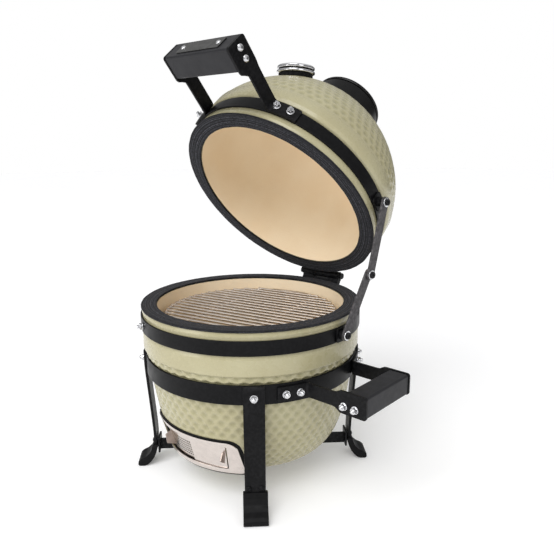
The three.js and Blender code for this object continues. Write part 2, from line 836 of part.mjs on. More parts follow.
// ---- top vent ---------------------------------------------------------------------
const petalHoles = (turn) => {
  const holes = [];
  for (let k = 0; k < 5; k += 1) {
    const a = rad(turn + k * 72);
    holes.push(rodZ(8, -100, 100, 12).translate([27 * Math.cos(a), 27 * Math.sin(a), 0]));
  }
  return union(holes);
};
const capBase = union([
  turned([
    [53, -4],
    [57, -4],
    [57.6, 4],
    [57.6, 30],
    [56.2, 32.5],
    [0, 32.5],
    [0, 28.5],
    [38, 28.5],
    [38, 12],
    [42, 8.2],
    [53, 8.2],
  ].reverse(), 28),
  rodZ(3, 32, 42.5, 12),
  turned([[0, 41.5], [6.5, 41.5], [6.5, 43.5], [4.5, 45.5], [0, 45.5]], 14),
]).subtract(petalHoles(36).intersect(rodZ(60, 20, 38)));
const capWheel = turned(
  [
    [3.4, 33],
    [57, 33],
    [57.8, 35],
    [57.2, 38],
    [53, 41],
    [3.4, 41],
  ],
  28,
).subtract(petalHoles(0));
addLid("cap_base", capBase.translate([0, 0, CAP_Z]), "cast_iron");
addLid("cap_wheel", capWheel.translate([0, 0, CAP_Z]), "cast_iron");

for (const [name, part, colour] of lidParts) {
  const raised = part
    .translate([0, -HINGE_Y, -HINGE_Z])
    .rotate([-LID_OPEN, 0, 0])
    .translate([0, HINGE_Y, HINGE_Z]);
  addMesh(group, name, raised, colour);
}

export default group;
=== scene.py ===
import json
from math import asin, atan2, cos, degrees, hypot, pi, radians, sin, sqrt, tan

import bmesh
import bpy
import numpy as np
from mathutils import Matrix, Vector
from mathutils.kdtree import KDTree


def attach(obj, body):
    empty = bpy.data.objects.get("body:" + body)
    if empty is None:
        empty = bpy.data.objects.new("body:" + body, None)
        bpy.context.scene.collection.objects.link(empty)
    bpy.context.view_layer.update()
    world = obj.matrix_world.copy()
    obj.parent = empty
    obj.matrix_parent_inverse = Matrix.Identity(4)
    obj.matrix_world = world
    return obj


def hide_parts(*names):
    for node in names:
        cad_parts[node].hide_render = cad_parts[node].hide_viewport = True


# Looks of the ceramic charcoal grill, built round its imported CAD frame.
# Shapes are worked out in millimetres, +Z up, -Y the front, and written to the meshes in metres.
# Lid pieces are worked out with the lid shut and carried open by OPEN, as the frame stores them.

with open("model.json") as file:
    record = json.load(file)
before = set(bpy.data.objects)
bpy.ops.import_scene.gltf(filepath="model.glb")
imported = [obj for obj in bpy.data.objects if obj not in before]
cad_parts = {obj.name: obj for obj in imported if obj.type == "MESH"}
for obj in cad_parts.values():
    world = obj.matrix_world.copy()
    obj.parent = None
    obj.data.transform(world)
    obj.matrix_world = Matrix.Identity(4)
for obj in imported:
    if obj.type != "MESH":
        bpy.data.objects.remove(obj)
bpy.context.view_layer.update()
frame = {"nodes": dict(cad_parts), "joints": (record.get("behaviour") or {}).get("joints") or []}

MM = 0.001
JOINTS = {joint["name"]: joint for joint in frame["joints"]}
HINGE = Vector(JOINTS["lid_hinge"]["pos_m"]) / MM
LID_OPEN = radians(JOINTS["lid_hinge"]["range_deg"][1])
OPEN = (
    Matrix.Translation(HINGE)
    @ Matrix.Rotation(-LID_OPEN, 4, "X")
    @ Matrix.Translation(-HINGE)
)

# ---- driving dimensions ----
RIM_Z = 261.0
LID_Z = 262.0
MOUTH_R = 137.0
GASKET_R = 160.0
GASKET_T = 3.0
GAP = 0.3
WHITE = (1.0, 1.0, 1.0, 1.0)
HINGE_BAND = (158.3, 160.8, 228.0, 248.0)
STAND_BAND = (152.8, 155.8, 160.8, 187.2)
LID_BAND = (158.3, 160.8, LID_Z + 15, LID_Z + 35)
LEG_ANGLES = {"front_right": 45, "back_right": 135, "back_left": -135, "front_left": -45}
LEG_W = 28.0
LEG_T = 4.0
FOOT_W = 33.0
GRATE_TURN = 11.9
GRATE_Z = 242.8
VENT_Z0 = 47.0
VENT_Z1 = 99.0
VENT_R0 = 128.0
VENT_SLOPE = 15 / 52
STAY_X_LOWER = 167.9
STAY_X_UPPER = 171.5
STAY_LOW = (4.0, 238.0)
STAY_ELBOW = (53.4, 311.7)
STAY_TOP_SHUT = (10.0, 286.0)
LINK_T = 3.0
LINK_W = 15.0
CAP_Z = LID_Z + 190.5
SHELL_COLUMNS = 640
SHELL_STEP = 1.6
STRAP_T = 3.0
STRAP_CORNER = 4.0
THREAD_PITCH = 0.8
SHARP_EDGE = radians(38)
FULL_WEAR = 1.4  # radians that the edges at a point turn by, where its coat is rubbed most
DRAFT_HOLE = (-30, 20, 57, 88)
FIRE_NOTCH = (-28, 18, 50, 86)
FRONT_WALL = (-165, -60)


# ---- plane and line helpers ----
def fillet(points, radii, steps=6):
    """Corner points replaced by round arcs. radii is one number or one per corner."""
    count = len(points)
    if not hasattr(radii, "__len__"):
        radii = [radii] * count
    out = []
    for i, radius in enumerate(radii):
        p = Vector(points[i])
        if radius == 0:
            out.append(tuple(p))
            continue
        before = (Vector(points[i - 1]) - p).normalized()
        after = (Vector(points[(i + 1) % count]) - p).normalized()
        half = before.angle(after) / 2
        centre = p + (before + after).normalized() * radius / sin(half)
        start = p + before * radius / tan(half) - centre
        end = p + after * radius / tan(half) - centre
        turn = start.angle_signed(end)
        for k in range(steps + 1):
            a = -turn * k / steps
            c, s = cos(a), sin(a)
            x = centre.x + start.x * c - start.y * s
            y = centre.y + start.x * s + start.y * c
            out.append((x, y))
    return out


def catmull(points, steps):
    """A smooth line through the points, with this many steps between each two."""
    p = [np.array(q, float) for q in points]
    p = [2 * p[0] - p[1], *p, 2 * p[-1] - p[-2]]
    out = []
    for a, b, c, d in zip(p, p[1:], p[2:], p[3:]):
        for k in range(steps):
            t = k / steps
            out.append(
                0.5 * (2 * b + (c - a) * t + (2 * a - 5 * b + 4 * c - d) * t**2
                       + (3 * b - a - 3 * c + d) * t**3)
            )
    out.append(p[-2])
    return [tuple(q) for q in out]


def run_length(p):
    """How far along a line each of its points is."""
    return np.concatenate([[0], np.cumsum(np.linalg.norm(np.diff(p, axis=0), axis=1))])


def spread(at, length, p):
    """The line's points at these distances along it."""
    return np.stack([np.interp(at, length, p[:, 0]), np.interp(at, length, p[:, 1])], 1)


def resampled(points, step):
    """The same line with points about one step apart."""
    p = np.array(points, float)
    length = run_length(p)
    at = np.linspace(0, length[-1], max(2, round(length[-1] / step) + 1))
    return [tuple(q) for q in spread(at, length, p)]


def around(outline, count):
    """Points spread evenly round a closed outline."""
    p = np.array([*outline, outline[0]], float)
    length = run_length(p)
    return spread(np.linspace(0, length[-1], count + 1)[:-1], length, p)


def offset_line(points, distance):
    p = np.array(points, float)
    t = np.gradient(p, axis=0)
    t /= np.linalg.norm(t, axis=1)[:, None]
    return [tuple(q) for q in p + distance * np.stack([t[:, 1], -t[:, 0]], 1)]


def rect(x0, x1, z0, z1):
    return [(x0, z0), (x1, z0), (x1, z1), (x0, z1)]


def polar(radius, angle, z):
    """A point at an angle from the front, positive towards the side handle."""
    a = radians(angle)
    return (radius * sin(a), -radius * cos(a), z)


def smoothstep(x):
    x = np.clip(x, 0, 1)
    return x * x * (3 - 2 * x)


# ---- shapes: (points as an array, faces as lists) ----
def joined(low, high):
    """Faces between two rings of point numbers."""
    n = len(low)
    return [[low[k], low[(k + 1) % n], high[(k + 1) % n], high[k]] for k in range(n)]


def quads(rows, count, closed=False):
    """Faces between neighbouring rings of this many points. closed joins the last to the first."""
    rings = [range(i * count, (i + 1) * count) for i in range(rows)]
    after = rings[1:] + rings[:1] if closed else rings[1:]
    return [face for low, high in zip(rings, after) for face in joined(low, high)]


def merged(*shapes):
    points, faces, start = [], [], 0
    for p, f in shapes:
        points.append(np.asarray(p, float).reshape(-1, 3))
        faces += [[i + start for i in face] for face in f]
        start += len(p)
    return np.concatenate(points), faces


def placed(shape, matrix):
    p = np.asarray(shape[0], float)
    m = np.array(matrix)
    return p @ m[:3, :3].T + m[:3, 3], shape[1]


def moved(shape, x, y, z):
    return placed(shape, Matrix.Translation((x, y, z)))


def turned_z(shape, angle):
    return placed(shape, Matrix.Rotation(radians(angle), 4, "Z"))


def mirrored(shape, axis):
    p = np.array(shape[0], float)
    p[:, axis] *= -1
    return p, [face[::-1] for face in shape[1]]


def stood(shape, point, direction):
    """A shape built along +Z, stood at a point with its +Z along a direction."""
    turn = Vector((0, 0, 1)).rotation_difference(Vector(direction)).to_matrix().to_4x4()
    return placed(shape, Matrix.Translation(Vector(point)) @ turn)


def lathe(profile, count=96):
    """Profile of (radius, height) turned about Z, from axis to axis or closed on itself."""
    on_axis = profile[0][0] == 0 and profile[-1][0] == 0
    a = np.arange(count) * 2 * pi / count
    points, rows = [], []
    for r, z in profile:
        start = len(points)
        if r == 0:
            rows.append([start] * count)
            points.append((0, 0, z))
        else:
            rows.append(list(range(start, start + count)))
            points.extend(zip(r * np.sin(a), -r * np.cos(a), np.full(count, z)))
    after = rows[1:] if on_axis else rows[1:] + rows[:1]
    every = [list(dict.fromkeys(face)) for pair in zip(rows, after) for face in joined(*pair)]
    return np.array(points, float), [face for face in every if len(face) > 2]


def prism(outline, low, high, axis):
    """An outline in the other two axes, in alphabetical order, pushed along X, Y or Z."""
    n = len(outline)
    flat = np.array(outline, float)
    points = np.concatenate([np.insert(flat, "XYZ".index(axis), w, axis=1) for w in (low, high)])
    return points, [*quads(2, n), list(range(n))[::-1], list(range(n, 2 * n))]


def opened_bmesh(shape):
    bm = bmesh.new()
    verts = [bm.verts.new(p) for p in shape[0]]
    for face in shape[1]:
        bm.faces.new([verts[i] for i in face])
    bmesh.ops.recalc_face_normals(bm, faces=bm.faces)
    return bm


def closed_shape(bm):
    bm.verts.index_update()
    shape = (
        np.array([v.co[:] for v in bm.verts], float),
        [[v.index for v in f.verts] for f in bm.faces],
    )
    bm.free()
    return shape


def bevelled(shape, width, segments=2, angle=35):
    """Edges sharper than the angle rounded off."""
    bm = opened_bmesh(shape)
    limit = radians(angle)
    edges = [e for e in bm.edges if len(e.link_faces) == 2 and e.calc_face_angle() > limit]
    bmesh.ops.bevel(
        bm, geom=edges, offset=width, segments=segments, profile=0.5, affect="EDGES", clamp_overlap=True
    )
    return closed_shape(bm)


def cad_shape(node):
    """A CAD node's own shape in millimetres, with its flat triangles joined into whole faces."""
    bm = bmesh.new()
    bm.from_mesh(frame["nodes"][node].data)
    bmesh.ops.scale(bm, vec=(1 / MM,) * 3, verts=bm.verts)
    bmesh.ops.remove_doubles(bm, verts=bm.verts, dist=0.02)
    bmesh.ops.dissolve_limit(bm, angle_limit=radians(1.5), verts=bm.verts, edges=bm.edges)
    return closed_shape(bm)


def in_scene(name, data):
    obj = bpy.data.objects.new(name, data)
    bpy.context.scene.collection.objects.link(obj)
    return obj


def cut(shape, tool):
    """The first shape with the second one taken away."""
    objects = []
    for name, part in (("cut_body", shape), ("cut_tool", tool)):
        bm = opened_bmesh(part)
        mesh = bpy.data.meshes.new(name)
        bm.to_mesh(mesh)
        bm.free()
        objects.append(in_scene(name, mesh))
    body, cutter = objects
    boolean = body.modifiers.new("cut", "BOOLEAN")
    boolean.operation = "DIFFERENCE"
    boolean.solver = "EXACT"
    boolean.object = cutter
    final = body.evaluated_get(bpy.context.evaluated_depsgraph_get())
    result = bpy.data.meshes.new_from_object(final)
    points = np.array([v.co[:] for v in result.vertices], float)
    faces = [list(p.vertices) for p in result.polygons]
    for o in objects:
        bpy.data.meshes.remove(o.data)
    bpy.data.meshes.remove(result)
    return points, faces


def piece(name, shape, look, nodes=(), body="base", weighted=True, dent=None, second=None):
    """Makes a shape into a piece that rides on a body and stands for its CAD nodes.
    dent is a value for each point. second is (look, flags): flagged faces take that other look."""
    mesh = bpy.data.meshes.new(name)
    mesh.from_pydata((np.asarray(shape[0]) * MM).tolist(), [], shape[1])
    bm = bmesh.new()
    bm.from_mesh(mesh)
    bmesh.ops.recalc_face_normals(bm, faces=bm.faces)
    if dent is None:
        wear = bm.verts.layers.float.new("edge_wear")
        for v in bm.verts:
            angles = [e.calc_face_angle() for e in v.link_edges if len(e.link_faces) == 2]
            v[wear] = min(1.0, sum(angles) / FULL_WEAR)
    bm.to_mesh(mesh)
    bm.free()
    if dent is not None:
        values = mesh.attributes.new("dent", "FLOAT", "POINT").data
        values.foreach_set("value", dent.astype(np.float32))
    mesh.materials.append(look)
    if second:
        mesh.materials.append(second[0])
        mesh.polygons.foreach_set("material_index", second[1].astype(np.int32))
    mesh.polygons.foreach_set("use_smooth", [True] * len(mesh.polygons))
    mesh.set_sharp_from_angle(angle=SHARP_EDGE)
    obj = in_scene(name, mesh)
    if weighted:
        normals = obj.modifiers.new("flat_faces_stay_flat", "WEIGHTED_NORMAL")
        normals.keep_sharp = True
    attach(obj, body)
    if nodes:
        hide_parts(*nodes)


def lid_piece(name, shape, look, nodes=(), body="lid", **more):
    piece(name, placed(shape, OPEN), look, nodes, body, **more)


# ---- materials ----
def srgb(*rgb):
    """A colour named by its 0 to 255 display values."""
    c = np.array(rgb, float) / 255
    linear = np.where(c <= 0.04045, c / 12.92, ((c + 0.055) / 1.055) ** 2.4)
    return (*linear, 1.0)


def feed(tree, node, inputs):
    """Links outputs to a node's inputs, or sets them to numbers or colours."""
    for key, value in inputs.items():
        socket = node.inputs[key.replace("_", " ") if isinstance(key, str) else key]
        if hasattr(value, "links"):
            tree.links.new(value, socket)
        else:
            socket.default_value = value


def added(tree, kind, inputs):
    node = tree.nodes.new(f"ShaderNode{kind}")
    feed(tree, node, inputs)
    return node


class Look:
    """A procedural material on one Principled shader, with its texture nodes in metres."""

    def __init__(self, name, rough, metal=0.0, **sockets):
        self.material = bpy.data.materials.new(name)
        self.material.use_nodes = True
        self.tree = self.material.node_tree
        self.shader = self.tree.nodes["Principled BSDF"]
        self.put(Roughness=rough, Metallic=metal, **sockets)
        self.coords = self.node("TexCoord").outputs["Object"]
        self.normal = None

    def node(self, kind, **inputs):
        return added(self.tree, kind, inputs)

    def put(self, **sockets):
        feed(self.tree, self.shader, sockets)

    def noise(self, size, detail=3.0, stretch=None, roughness=0.5):
        """Noise with features about this many millimetres across."""
        at = self.coords
        if stretch:
            at = self.node("Mapping", Vector=at, Scale=stretch).outputs["Vector"]
        scale = 1 / (size * MM)
        made = self.node("TexNoise", Vector=at, Scale=scale, Detail=detail, Roughness=roughness)
        return made.outputs["Fac"]

    def band(self, value, low, high, out_low=0.0, out_high=1.0):
        """The part of a value between two levels, spread over a new range."""
        ends = {"From_Min": low, "From_Max": high, "To_Min": out_low, "To_Max": out_high}
        return self.node("MapRange", Value=value, **ends).outputs["Result"]

    def times(self, a, b):
        made = added(self.tree, "Math", {0: a, 1: b})
        made.operation = "MULTIPLY"
        return made.outputs["Value"]

    def mix(self, a, b, factor):
        made = added(self.tree, "Mix", {0: factor, 6: a, 7: b})
        made.data_type = "RGBA"
        return made.outputs[2]

    def attribute(self, name):
        made = self.node("Attribute")
        made.attribute_name = name
        return made.outputs["Fac"]

    def bump(self, height, strength, depth):
        """Relief of this many millimetres, on top of any before it."""
        under = {"Normal": self.normal} if self.normal else {}
        made = self.node("Bump", Height=height, Strength=strength, Distance=depth * MM, **under)
        self.normal = made.outputs["Normal"]
        self.put(Normal=self.normal)

    def mottle(self, a, b, size, detail, start=0.35, stop=0.75):
        """One colour drifting into another."""
        return self.mix(a, b, self.band(self.noise(size, detail), start, stop))

    def colour(self, value):
        self.put(Base_Color=value)

    def gloss(self, size, detail, low, high, start=0.3, stop=0.7):
        """Roughness drifting between two values."""
        self.put(Roughness=self.band(self.noise(size, detail), start, stop, low, high))


def glaze_look():
    """Glossy sage glaze, paler where it runs thin on the ridges and greener where it pools."""
    look = Look("sage_glaze", 0.26, Specular_IOR_Level=0.4, Coat_Weight=0.2, Coat_Roughness=0.1)
    broad = look.band(look.noise(60, 2.0), 0.35, 0.65)
    thin = look.mix(srgb(176, 170, 137), srgb(170, 163, 129), broad)
    thick = look.mix(srgb(146, 142, 105), srgb(139, 134, 98), broad)
    pooled = look.band(look.attribute("dent"), 0.0, 1.0, 0.0, 0.72)
    body = look.mix(thin, thick, pooled)
    speck = look.band(look.noise(1.1, 2.0), 0.62, 0.72, 0.0, 0.22)
    look.colour(look.mix(body, srgb(203, 199, 160), speck))
    look.gloss(9, 3.0, 0.2, 0.34)
    look.bump(look.noise(7, 2.0), 0.35, 0.25)
    look.bump(look.noise(1.3, 2.0), 0.2, 0.05)
    return look.material


def raw_ceramic_look():
    """Unglazed cream ceramic, matt with faint grog and firing tone, with painted shade darkening it low
    in the bowl.
    """
    look = Look("cream_ceramic", 0.85)
    body = look.mottle(srgb(250, 234, 206), srgb(246, 227, 196), 70, 3.0, 0.35, 0.65)
    grog = look.band(look.noise(1.6), 0.6, 0.75, 0.0, 0.3)
    height = look.node("SeparateXYZ", Vector=look.coords).outputs["Z"]
    # Painted shade: below about 125 mm the colour runs to a dark brown, for the shade deep inside the
    # bowl.
    painted_shade_low = look.band(height, 0.085, 0.125, 0.92, 0.0)
    look.colour(look.mix(look.mix(body, srgb(226, 200, 162), grog), srgb(52, 47, 43), painted_shade_low))
    look.bump(look.noise(1.5, 4.0), 0.35, 0.12)
    return look.material


def felt_look():
    """Dense black felt: matted fibres laid in rings, with paler loose ones. Its dent is the radius."""
    look = Look("black_felt", 0.95, Specular_IOR_Level=0.1, Sheen_Weight=0.05, Sheen_Roughness=0.6)
    ringed = look.node("TexNoise", Scale=0.55, Detail=3.0)
    ringed.noise_dimensions = "1D"
    feed(look.tree, ringed, {"W": look.attribute("dent")})
    fibre = look.noise(2.4, 5.0, roughness=0.7)
    loose = look.times(look.band(ringed.outputs["Fac"], 0.42, 0.66), look.band(fibre, 0.34, 0.62))
    look.colour(look.mix(srgb(21, 21, 23), srgb(84, 85, 92), loose))
    look.bump(fibre, 0.9, 0.6)
    look.bump(ringed.outputs["Fac"], 0.5, 0.5)
    return look.material


def coated_look(name, dark, pale, rough, peel=0.9, metal=0.0):
    """Powder coat: fine orange peel, a little dust in its tone, and edges rubbed paler."""
    look = Look(name, rough, metal, Specular_IOR_Level=0.12)
    tone = look.band(look.noise(35), 0.35, 0.7, 0.0, 0.5)
    body = look.mix(dark, pale, tone)
    edges = look.band(look.attribute("edge_wear"), 0.25, 1.0)
    rubbed = look.times(edges, look.band(look.noise(4, 4.0), 0.4, 0.65))
    worn = tuple(min(1.0, 2.1 * c + 0.01) for c in pale[:3]) + (1.0,)
    look.colour(look.mix(body, worn, look.times(rubbed, 0.7)))
    look.gloss(18, 3.0, rough - 0.06, rough + 0.08)
    look.bump(look.noise(peel, 3.0), 0.25, 0.08)
    return look.material


def handle_look():
    """Soft satin moulding with a fine even grain."""
    look = Look("satin_handle", 0.42, Specular_IOR_Level=0.2)
    body = look.mottle(srgb(38, 38, 41), srgb(44, 44, 47), 25, 3.0, 0.3, 0.7)
    rubbed = look.band(look.attribute("edge_wear"), 0.2, 1.0, 0.0, 0.5)
    look.colour(look.mix(body, srgb(34, 34, 36), rubbed))
    look.gloss(12, 3.0, 0.37, 0.5)
    look.bump(look.noise(0.55, 2.0), 0.3, 0.06)
    return look.material


def rubber_look():
    look = Look("foot_rubber", 0.5, Specular_IOR_Level=0.12)
    look.colour(look.mottle(srgb(14, 14, 15), srgb(22, 22, 23), 8, 4.0))
    look.gloss(10, 3.0, 0.42, 0.62)
    look.bump(look.noise(0.8), 0.35, 0.08)
    return look.material


def bright_look(name, tone, shade, rough, brushed=None, smudge=0.08, relief=0.12):
    """Bright metal: plated, drawn or polished, with brushing where it has a direction."""
    look = Look(name, rough, 1.0)
    look.colour(look.mottle(tone, shade, 7, 4.0))
    look.gloss(14, 4.0, rough, rough + smudge)
    if brushed:
        look.bump(look.noise(0.35, 3.0, stretch=brushed), 0.25, 0.03)
    else:
        look.bump(look.noise(0.9), relief, 0.02)
    return look.material


def cast_look(name, dark, pale, rough, coat):
    """Enamelled cast iron: a slightly pebbled skin under a glossy black coat."""
    look = Look(name, rough, 0.0, Specular_IOR_Level=0.15, Coat_Weight=coat, Coat_Roughness=0.12)
    look.colour(look.mottle(dark, pale, 12, 4.0))
    look.gloss(9, 3.0, rough - 0.05, rough + 0.1)
    look.bump(look.noise(1.6), 0.35, 0.12)
    return look.material


def dial_look():
    look = Look("dial_face", 0.55)
    look.colour(look.mottle(srgb(240, 239, 233), srgb(232, 230, 222), 9, 3.0, 0.35, 0.7))
    look.bump(look.noise(0.6, 2.0), 0.1, 0.02)
    return look.material


def glass_look():
    look = Look("dial_glass", 0.02, Transmission_Weight=1.0, IOR=1.45)
    look.gloss(11, 3.0, 0.01, 0.05, 0.35, 0.75)
    look.colour((0.97, 0.98, 0.98, 1.0))
    return look.material


def paint_look(name, colour):
    look = Look(name, 0.5)
    deep = tuple(0.8 * c for c in colour[:3]) + (1.0,)
    look.colour(look.mix(colour, deep, look.noise(2, 2.0)))
    return look.material


GLAZE = glaze_look()
CERAMIC = raw_ceramic_look()
FELT = felt_look()
COAT = coated_look("black_powder_coat", srgb(11, 11, 12), srgb(18, 18, 20), 0.36)
LINK = coated_look("dark_link_steel", srgb(64, 62, 64), srgb(77, 75, 76), 0.4, metal=0.2)
HANDLE = handle_look()
RUBBER = rubber_look()
SEAL = coated_look("black_seal", srgb(12, 12, 13), srgb(20, 20, 21), 0.7, peel=2.0)
ZINC = bright_look("bright_zinc", srgb(224, 224, 226), srgb(190, 191, 194), 0.16)
WIRE = bright_look("drawn_wire", srgb(208, 198, 188), srgb(190, 179, 168), 0.36, relief=0.03)
STAINLESS = bright_look(
    "polished_stainless", srgb(216, 207, 201), srgb(206, 197, 191), 0.15, brushed=(1, 1, 14)
)
# The pull tabs are the vent's own stainless; their darker tone here is painted shade, with a rougher
# finish.
SHADED_TAB_LOOK = bright_look("vent_tab_painted_shade", srgb(184, 168, 158), srgb(160, 146, 138), 0.34)
CHROME = bright_look("polished_chrome", srgb(232, 232, 234), srgb(214, 214, 217), 0.06, smudge=0.05)
PLATE = bright_look("brushed_plate", srgb(96, 96, 95), srgb(74, 74, 73), 0.3, brushed=(1, 14, 14))
CAP_IRON = cast_look("enamelled_cap", srgb(8, 8, 9), srgb(13, 13, 14), 0.3, 0.15)
GRATE_IRON = cast_look("seasoned_iron", srgb(38, 36, 35), srgb(56, 53, 51), 0.65, 0.0)
DIAL = dial_look()
GLASS = glass_look()
INK = paint_look("dial_ink", srgb(24, 24, 26))
POINTER = paint_look("pointer_red", srgb(178, 28, 24))


# ---- glazed shells ----
BOWL_OUTER = [
    (0, 38), (60, 38), (84, 38.2), (97, 39.6), (108, 44.5), (119, 54), (129, 69), (135.6, 85.5),
    (140, 101), (144.8, 125), (148.6, 149), (151, 163), (152.4, 175), (152.4, 187),
]
BOWL_STEP = [(155.2, 190.4), (155.8, 197)]
BOWL_LIP = [
    (156.2, 197.6), (158.9, 200.6), (158.9, 222), (157.9, 227), (157.9, 250), (158.6, 253),
    (157.6, 257.7),
]
BOWL_LIP = fillet(BOWL_LIP, [0, 2, 2, 2, 1, 1, 0], 4)
BOWL_INNER = [
    (MOUTH_R, RIM_Z - GASKET_T - GAP), (136.6, 215), (132, 160), (127.5, 130), (120, 100), (110, 78),
    (96, 63), (80, 57), (0, 56),
]
DOME_SKIRT = fillet(
    [(157.6, 3.3), (158.6, 8), (157.9, 13.5), (157.9, 36.5), (160.8, 38.6), (162.2, 44), (161.9, 59)],
    [0, 2, 1, 1, 2, 3, 0], 4,
)
DOME_OUTER = [
    (161.0, 60.2), (159.4, 67), (157.4, 75), (152, 90), (144.6, 105), (135, 120), (123.5, 135),
    (109, 150), (91.5, 164), (70, 176), (54, 182.6),
]
DOME_NECK = fillet([(53, 183), (48.2, 186.5), (48, 198), (29, 198), (29, 173)], [0, 2, 1, 2, 0], 3)
DOME_INNER = [
    (29, 172), (33, 169), (48, 165), (72, 155), (92, 142), (108, 125), (121, 103), (130, 78),
    (135, 50), (MOUTH_R, 24), (MOUTH_R, 3.3),
]
BOWL_DIMPLES = 58
BOWL_DENT = 1.5
BOWL_ROWS = 0.62
DOME_PITCH = 13.5
DOME_ROW = DOME_PITCH * 0.8
DOME_DENT = 1.0


def dent_shape(distance, reach):
    """Depth of a dent from 0 to 1 at a distance from its middle."""
    return np.clip(1 - (distance / reach) ** 2, 0, 1) ** 1.6


def bowl_dents(line, angles):
    """Staggered rows with the same number of dimples in each, so they shrink towards the base."""
    r, z = line[:, 0], line[:, 1]
    step = np.hypot(np.diff(r), np.diff(z))
    along = np.concatenate([[0], np.cumsum(step / (0.5 * (r[1:] + r[:-1])))])
    dimples = BOWL_DIMPLES / (2 * pi)
    u = angles[None, :] * dimples
    v = along[:, None] * dimples / BOWL_ROWS
    nearest = np.full((len(line), len(angles)), 9.0)
    for shift in (-1, 0, 1):
        row = np.round(v) + shift
        across = u - 0.5 * (row % 2)
        nearest = np.minimum(nearest, np.hypot(across - np.round(across), (v - row) * BOWL_ROWS))
    fade = smoothstep((z - 46) / 8) * smoothstep((201 - z) / 5)
    around_vent = np.maximum(abs(r[:, None] * np.sin(angles)) - 85, z[:, None] - 102.5) / 5
    clear = np.where(np.cos(angles) > 0, smoothstep(around_vent), 1.0)
    return dent_shape(nearest, 0.43) * fade[:, None] * clear


def dome_dents(line, angles):
    """Rows of dimples of one size, with fewer in each row towards the top."""
    r, z = line[:, 0], line[:, 1]
    along = run_length(line)
    nearest = np.full((len(line), len(angles)), 99.0)
    for row in range(int(along[-1] / DOME_ROW) + 2):
        at = (row + 0.5) * DOME_ROW
        radius = np.interp(at, along, r)
        count = round(2 * pi * radius / DOME_PITCH)
        turns = angles * count / (2 * pi) + 0.5 * (row % 2) + 0.13 * sin(7.0 * row)
        across = (turns - np.round(turns)) * 2 * pi / count
        distance = np.hypot(across[None, :] * r[:, None], (along - at)[:, None])
        nearest = np.minimum(nearest, distance)
    fade = smoothstep((z - 61) / 6) * smoothstep((182 - z) / 6)
    return dent_shape(nearest, DOME_PITCH * 0.46) * fade[:, None]


def vent_r(z):
    return VENT_R0 + (z - VENT_Z0) * VENT_SLOPE


def shell(line, rest, dents, depth):
    """A closed ceramic shell, dimpled along the line and plain along the rest of its profile.
    Gives its shape and how deep in a dimple each point is, from 0 to 1."""
    columns = SHELL_COLUMNS
    rows = resampled(line, SHELL_STEP * (1))
    points, faces = lathe([*rows, *rest], columns)
    at_axis = rows[0][0] == 0
    skin_line = np.array(rows[1:] if at_axis else rows, float)
    first = 1 if at_axis else 0
    skin = points[first:first + len(skin_line) * columns].reshape(-1, columns, 3)
    angles = np.arange(columns) * 2 * pi / columns
    dent = dents(skin_line, angles)
    along = np.gradient(skin_line, axis=0)
    along /= np.linalg.norm(along, axis=1)[:, None]
    radius = skin_line[:, 0][:, None]
    skin[..., :2] *= ((radius - dent * depth * along[:, 1][:, None]) / radius)[..., None]
    skin[..., 2] += dent * depth * along[:, 0][:, None]
    values = np.zeros(len(points))
    values[first:first + dent.size] = dent.ravel()
    return (points, faces), values


def inner_faces(shape, inner_line, above):
    """Flags the faces on the bare inside of a shell."""
    points = shape[0]
    centres = np.array([points[face].mean(axis=0) for face in shape[1]])
    line = np.array(inner_line)
    order = np.argsort(line[:, 1])
    limit = np.interp(centres[:, 2], line[order, 1], line[order, 0]) + 2
    return (np.hypot(centres[:, 0], centres[:, 1]) < limit) & (centres[:, 2] > above)


def vent_pocket(points):
    """Presses the bowl's skin in behind the draft vent, where its plates slide."""
    x, y, z = points.T
    limit = vent_r(z) - 5.3
    radius = np.hypot(x, y)
    pressed = (abs(x) < 77.5) & (y < 0) & (z > 49) & (z < 97) & (radius > limit)
    points[pressed, :2] *= (limit[pressed] / radius[pressed])[:, None]


def glazed_bowl():
    line = [*catmull(BOWL_OUTER, 8), *BOWL_STEP]
    rest = [*BOWL_LIP, *resampled(catmull(BOWL_INNER[:-1], 4), 8), BOWL_INNER[-1]]
    shape, dent = shell(line, rest, bowl_dents, BOWL_DENT)
    vent_pocket(shape[0])
    tree = KDTree(len(shape[0]))
    for i, point in enumerate(shape[0]):
        tree.insert(point, i)
    tree.balance()
    hole = prism(fillet(rect(*DRAFT_HOLE), 5), *FRONT_WALL, "Y")
    holed = cut(shape, hole)
    dent = np.array([dent[tree.find(point)[1]] for point in holed[0]])
    bare = inner_faces(holed, BOWL_INNER, 55.5)
    skins = {"weighted": False, "dent": dent, "second": (CERAMIC, bare)}
    piece("glazed_bowl", holed, GLAZE, ["bowl"], **skins)


def glazed_dome():
    line = catmull(DOME_OUTER, 8)
    inner = resampled(catmull(DOME_INNER, 4), 7)
    shape, dent = shell(line, [*DOME_NECK, *inner[1:], *DOME_SKIRT], dome_dents, DOME_DENT)
    bare = inner_faces(shape, DOME_INNER, 3.5)
    up = moved(shape, 0, 0, LID_Z)
    skins = {"weighted": False, "dent": dent, "second": (CERAMIC, bare)}
    lid_piece("glazed_dome", up, GLAZE, ["lid_dome"], **skins)


def matted(shape, reach):
    """A felt ring with its edges a little uneven."""
    p = shape[0]
    a = np.arctan2(p[:, 0], -p[:, 1])
    wave = np.sin(23 * a) + 0.7 * np.sin(41 * a + 1.3) + 0.5 * np.sin(67 * a + 4.1)
    radius = np.hypot(p[:, 0], p[:, 1])
    outward = np.where(radius > 150, -1.0, 1.0)
    p[:, :2] *= (1 + outward * (reach * (2.2 + wave) / 4.4) / radius)[:, None]
    return shape


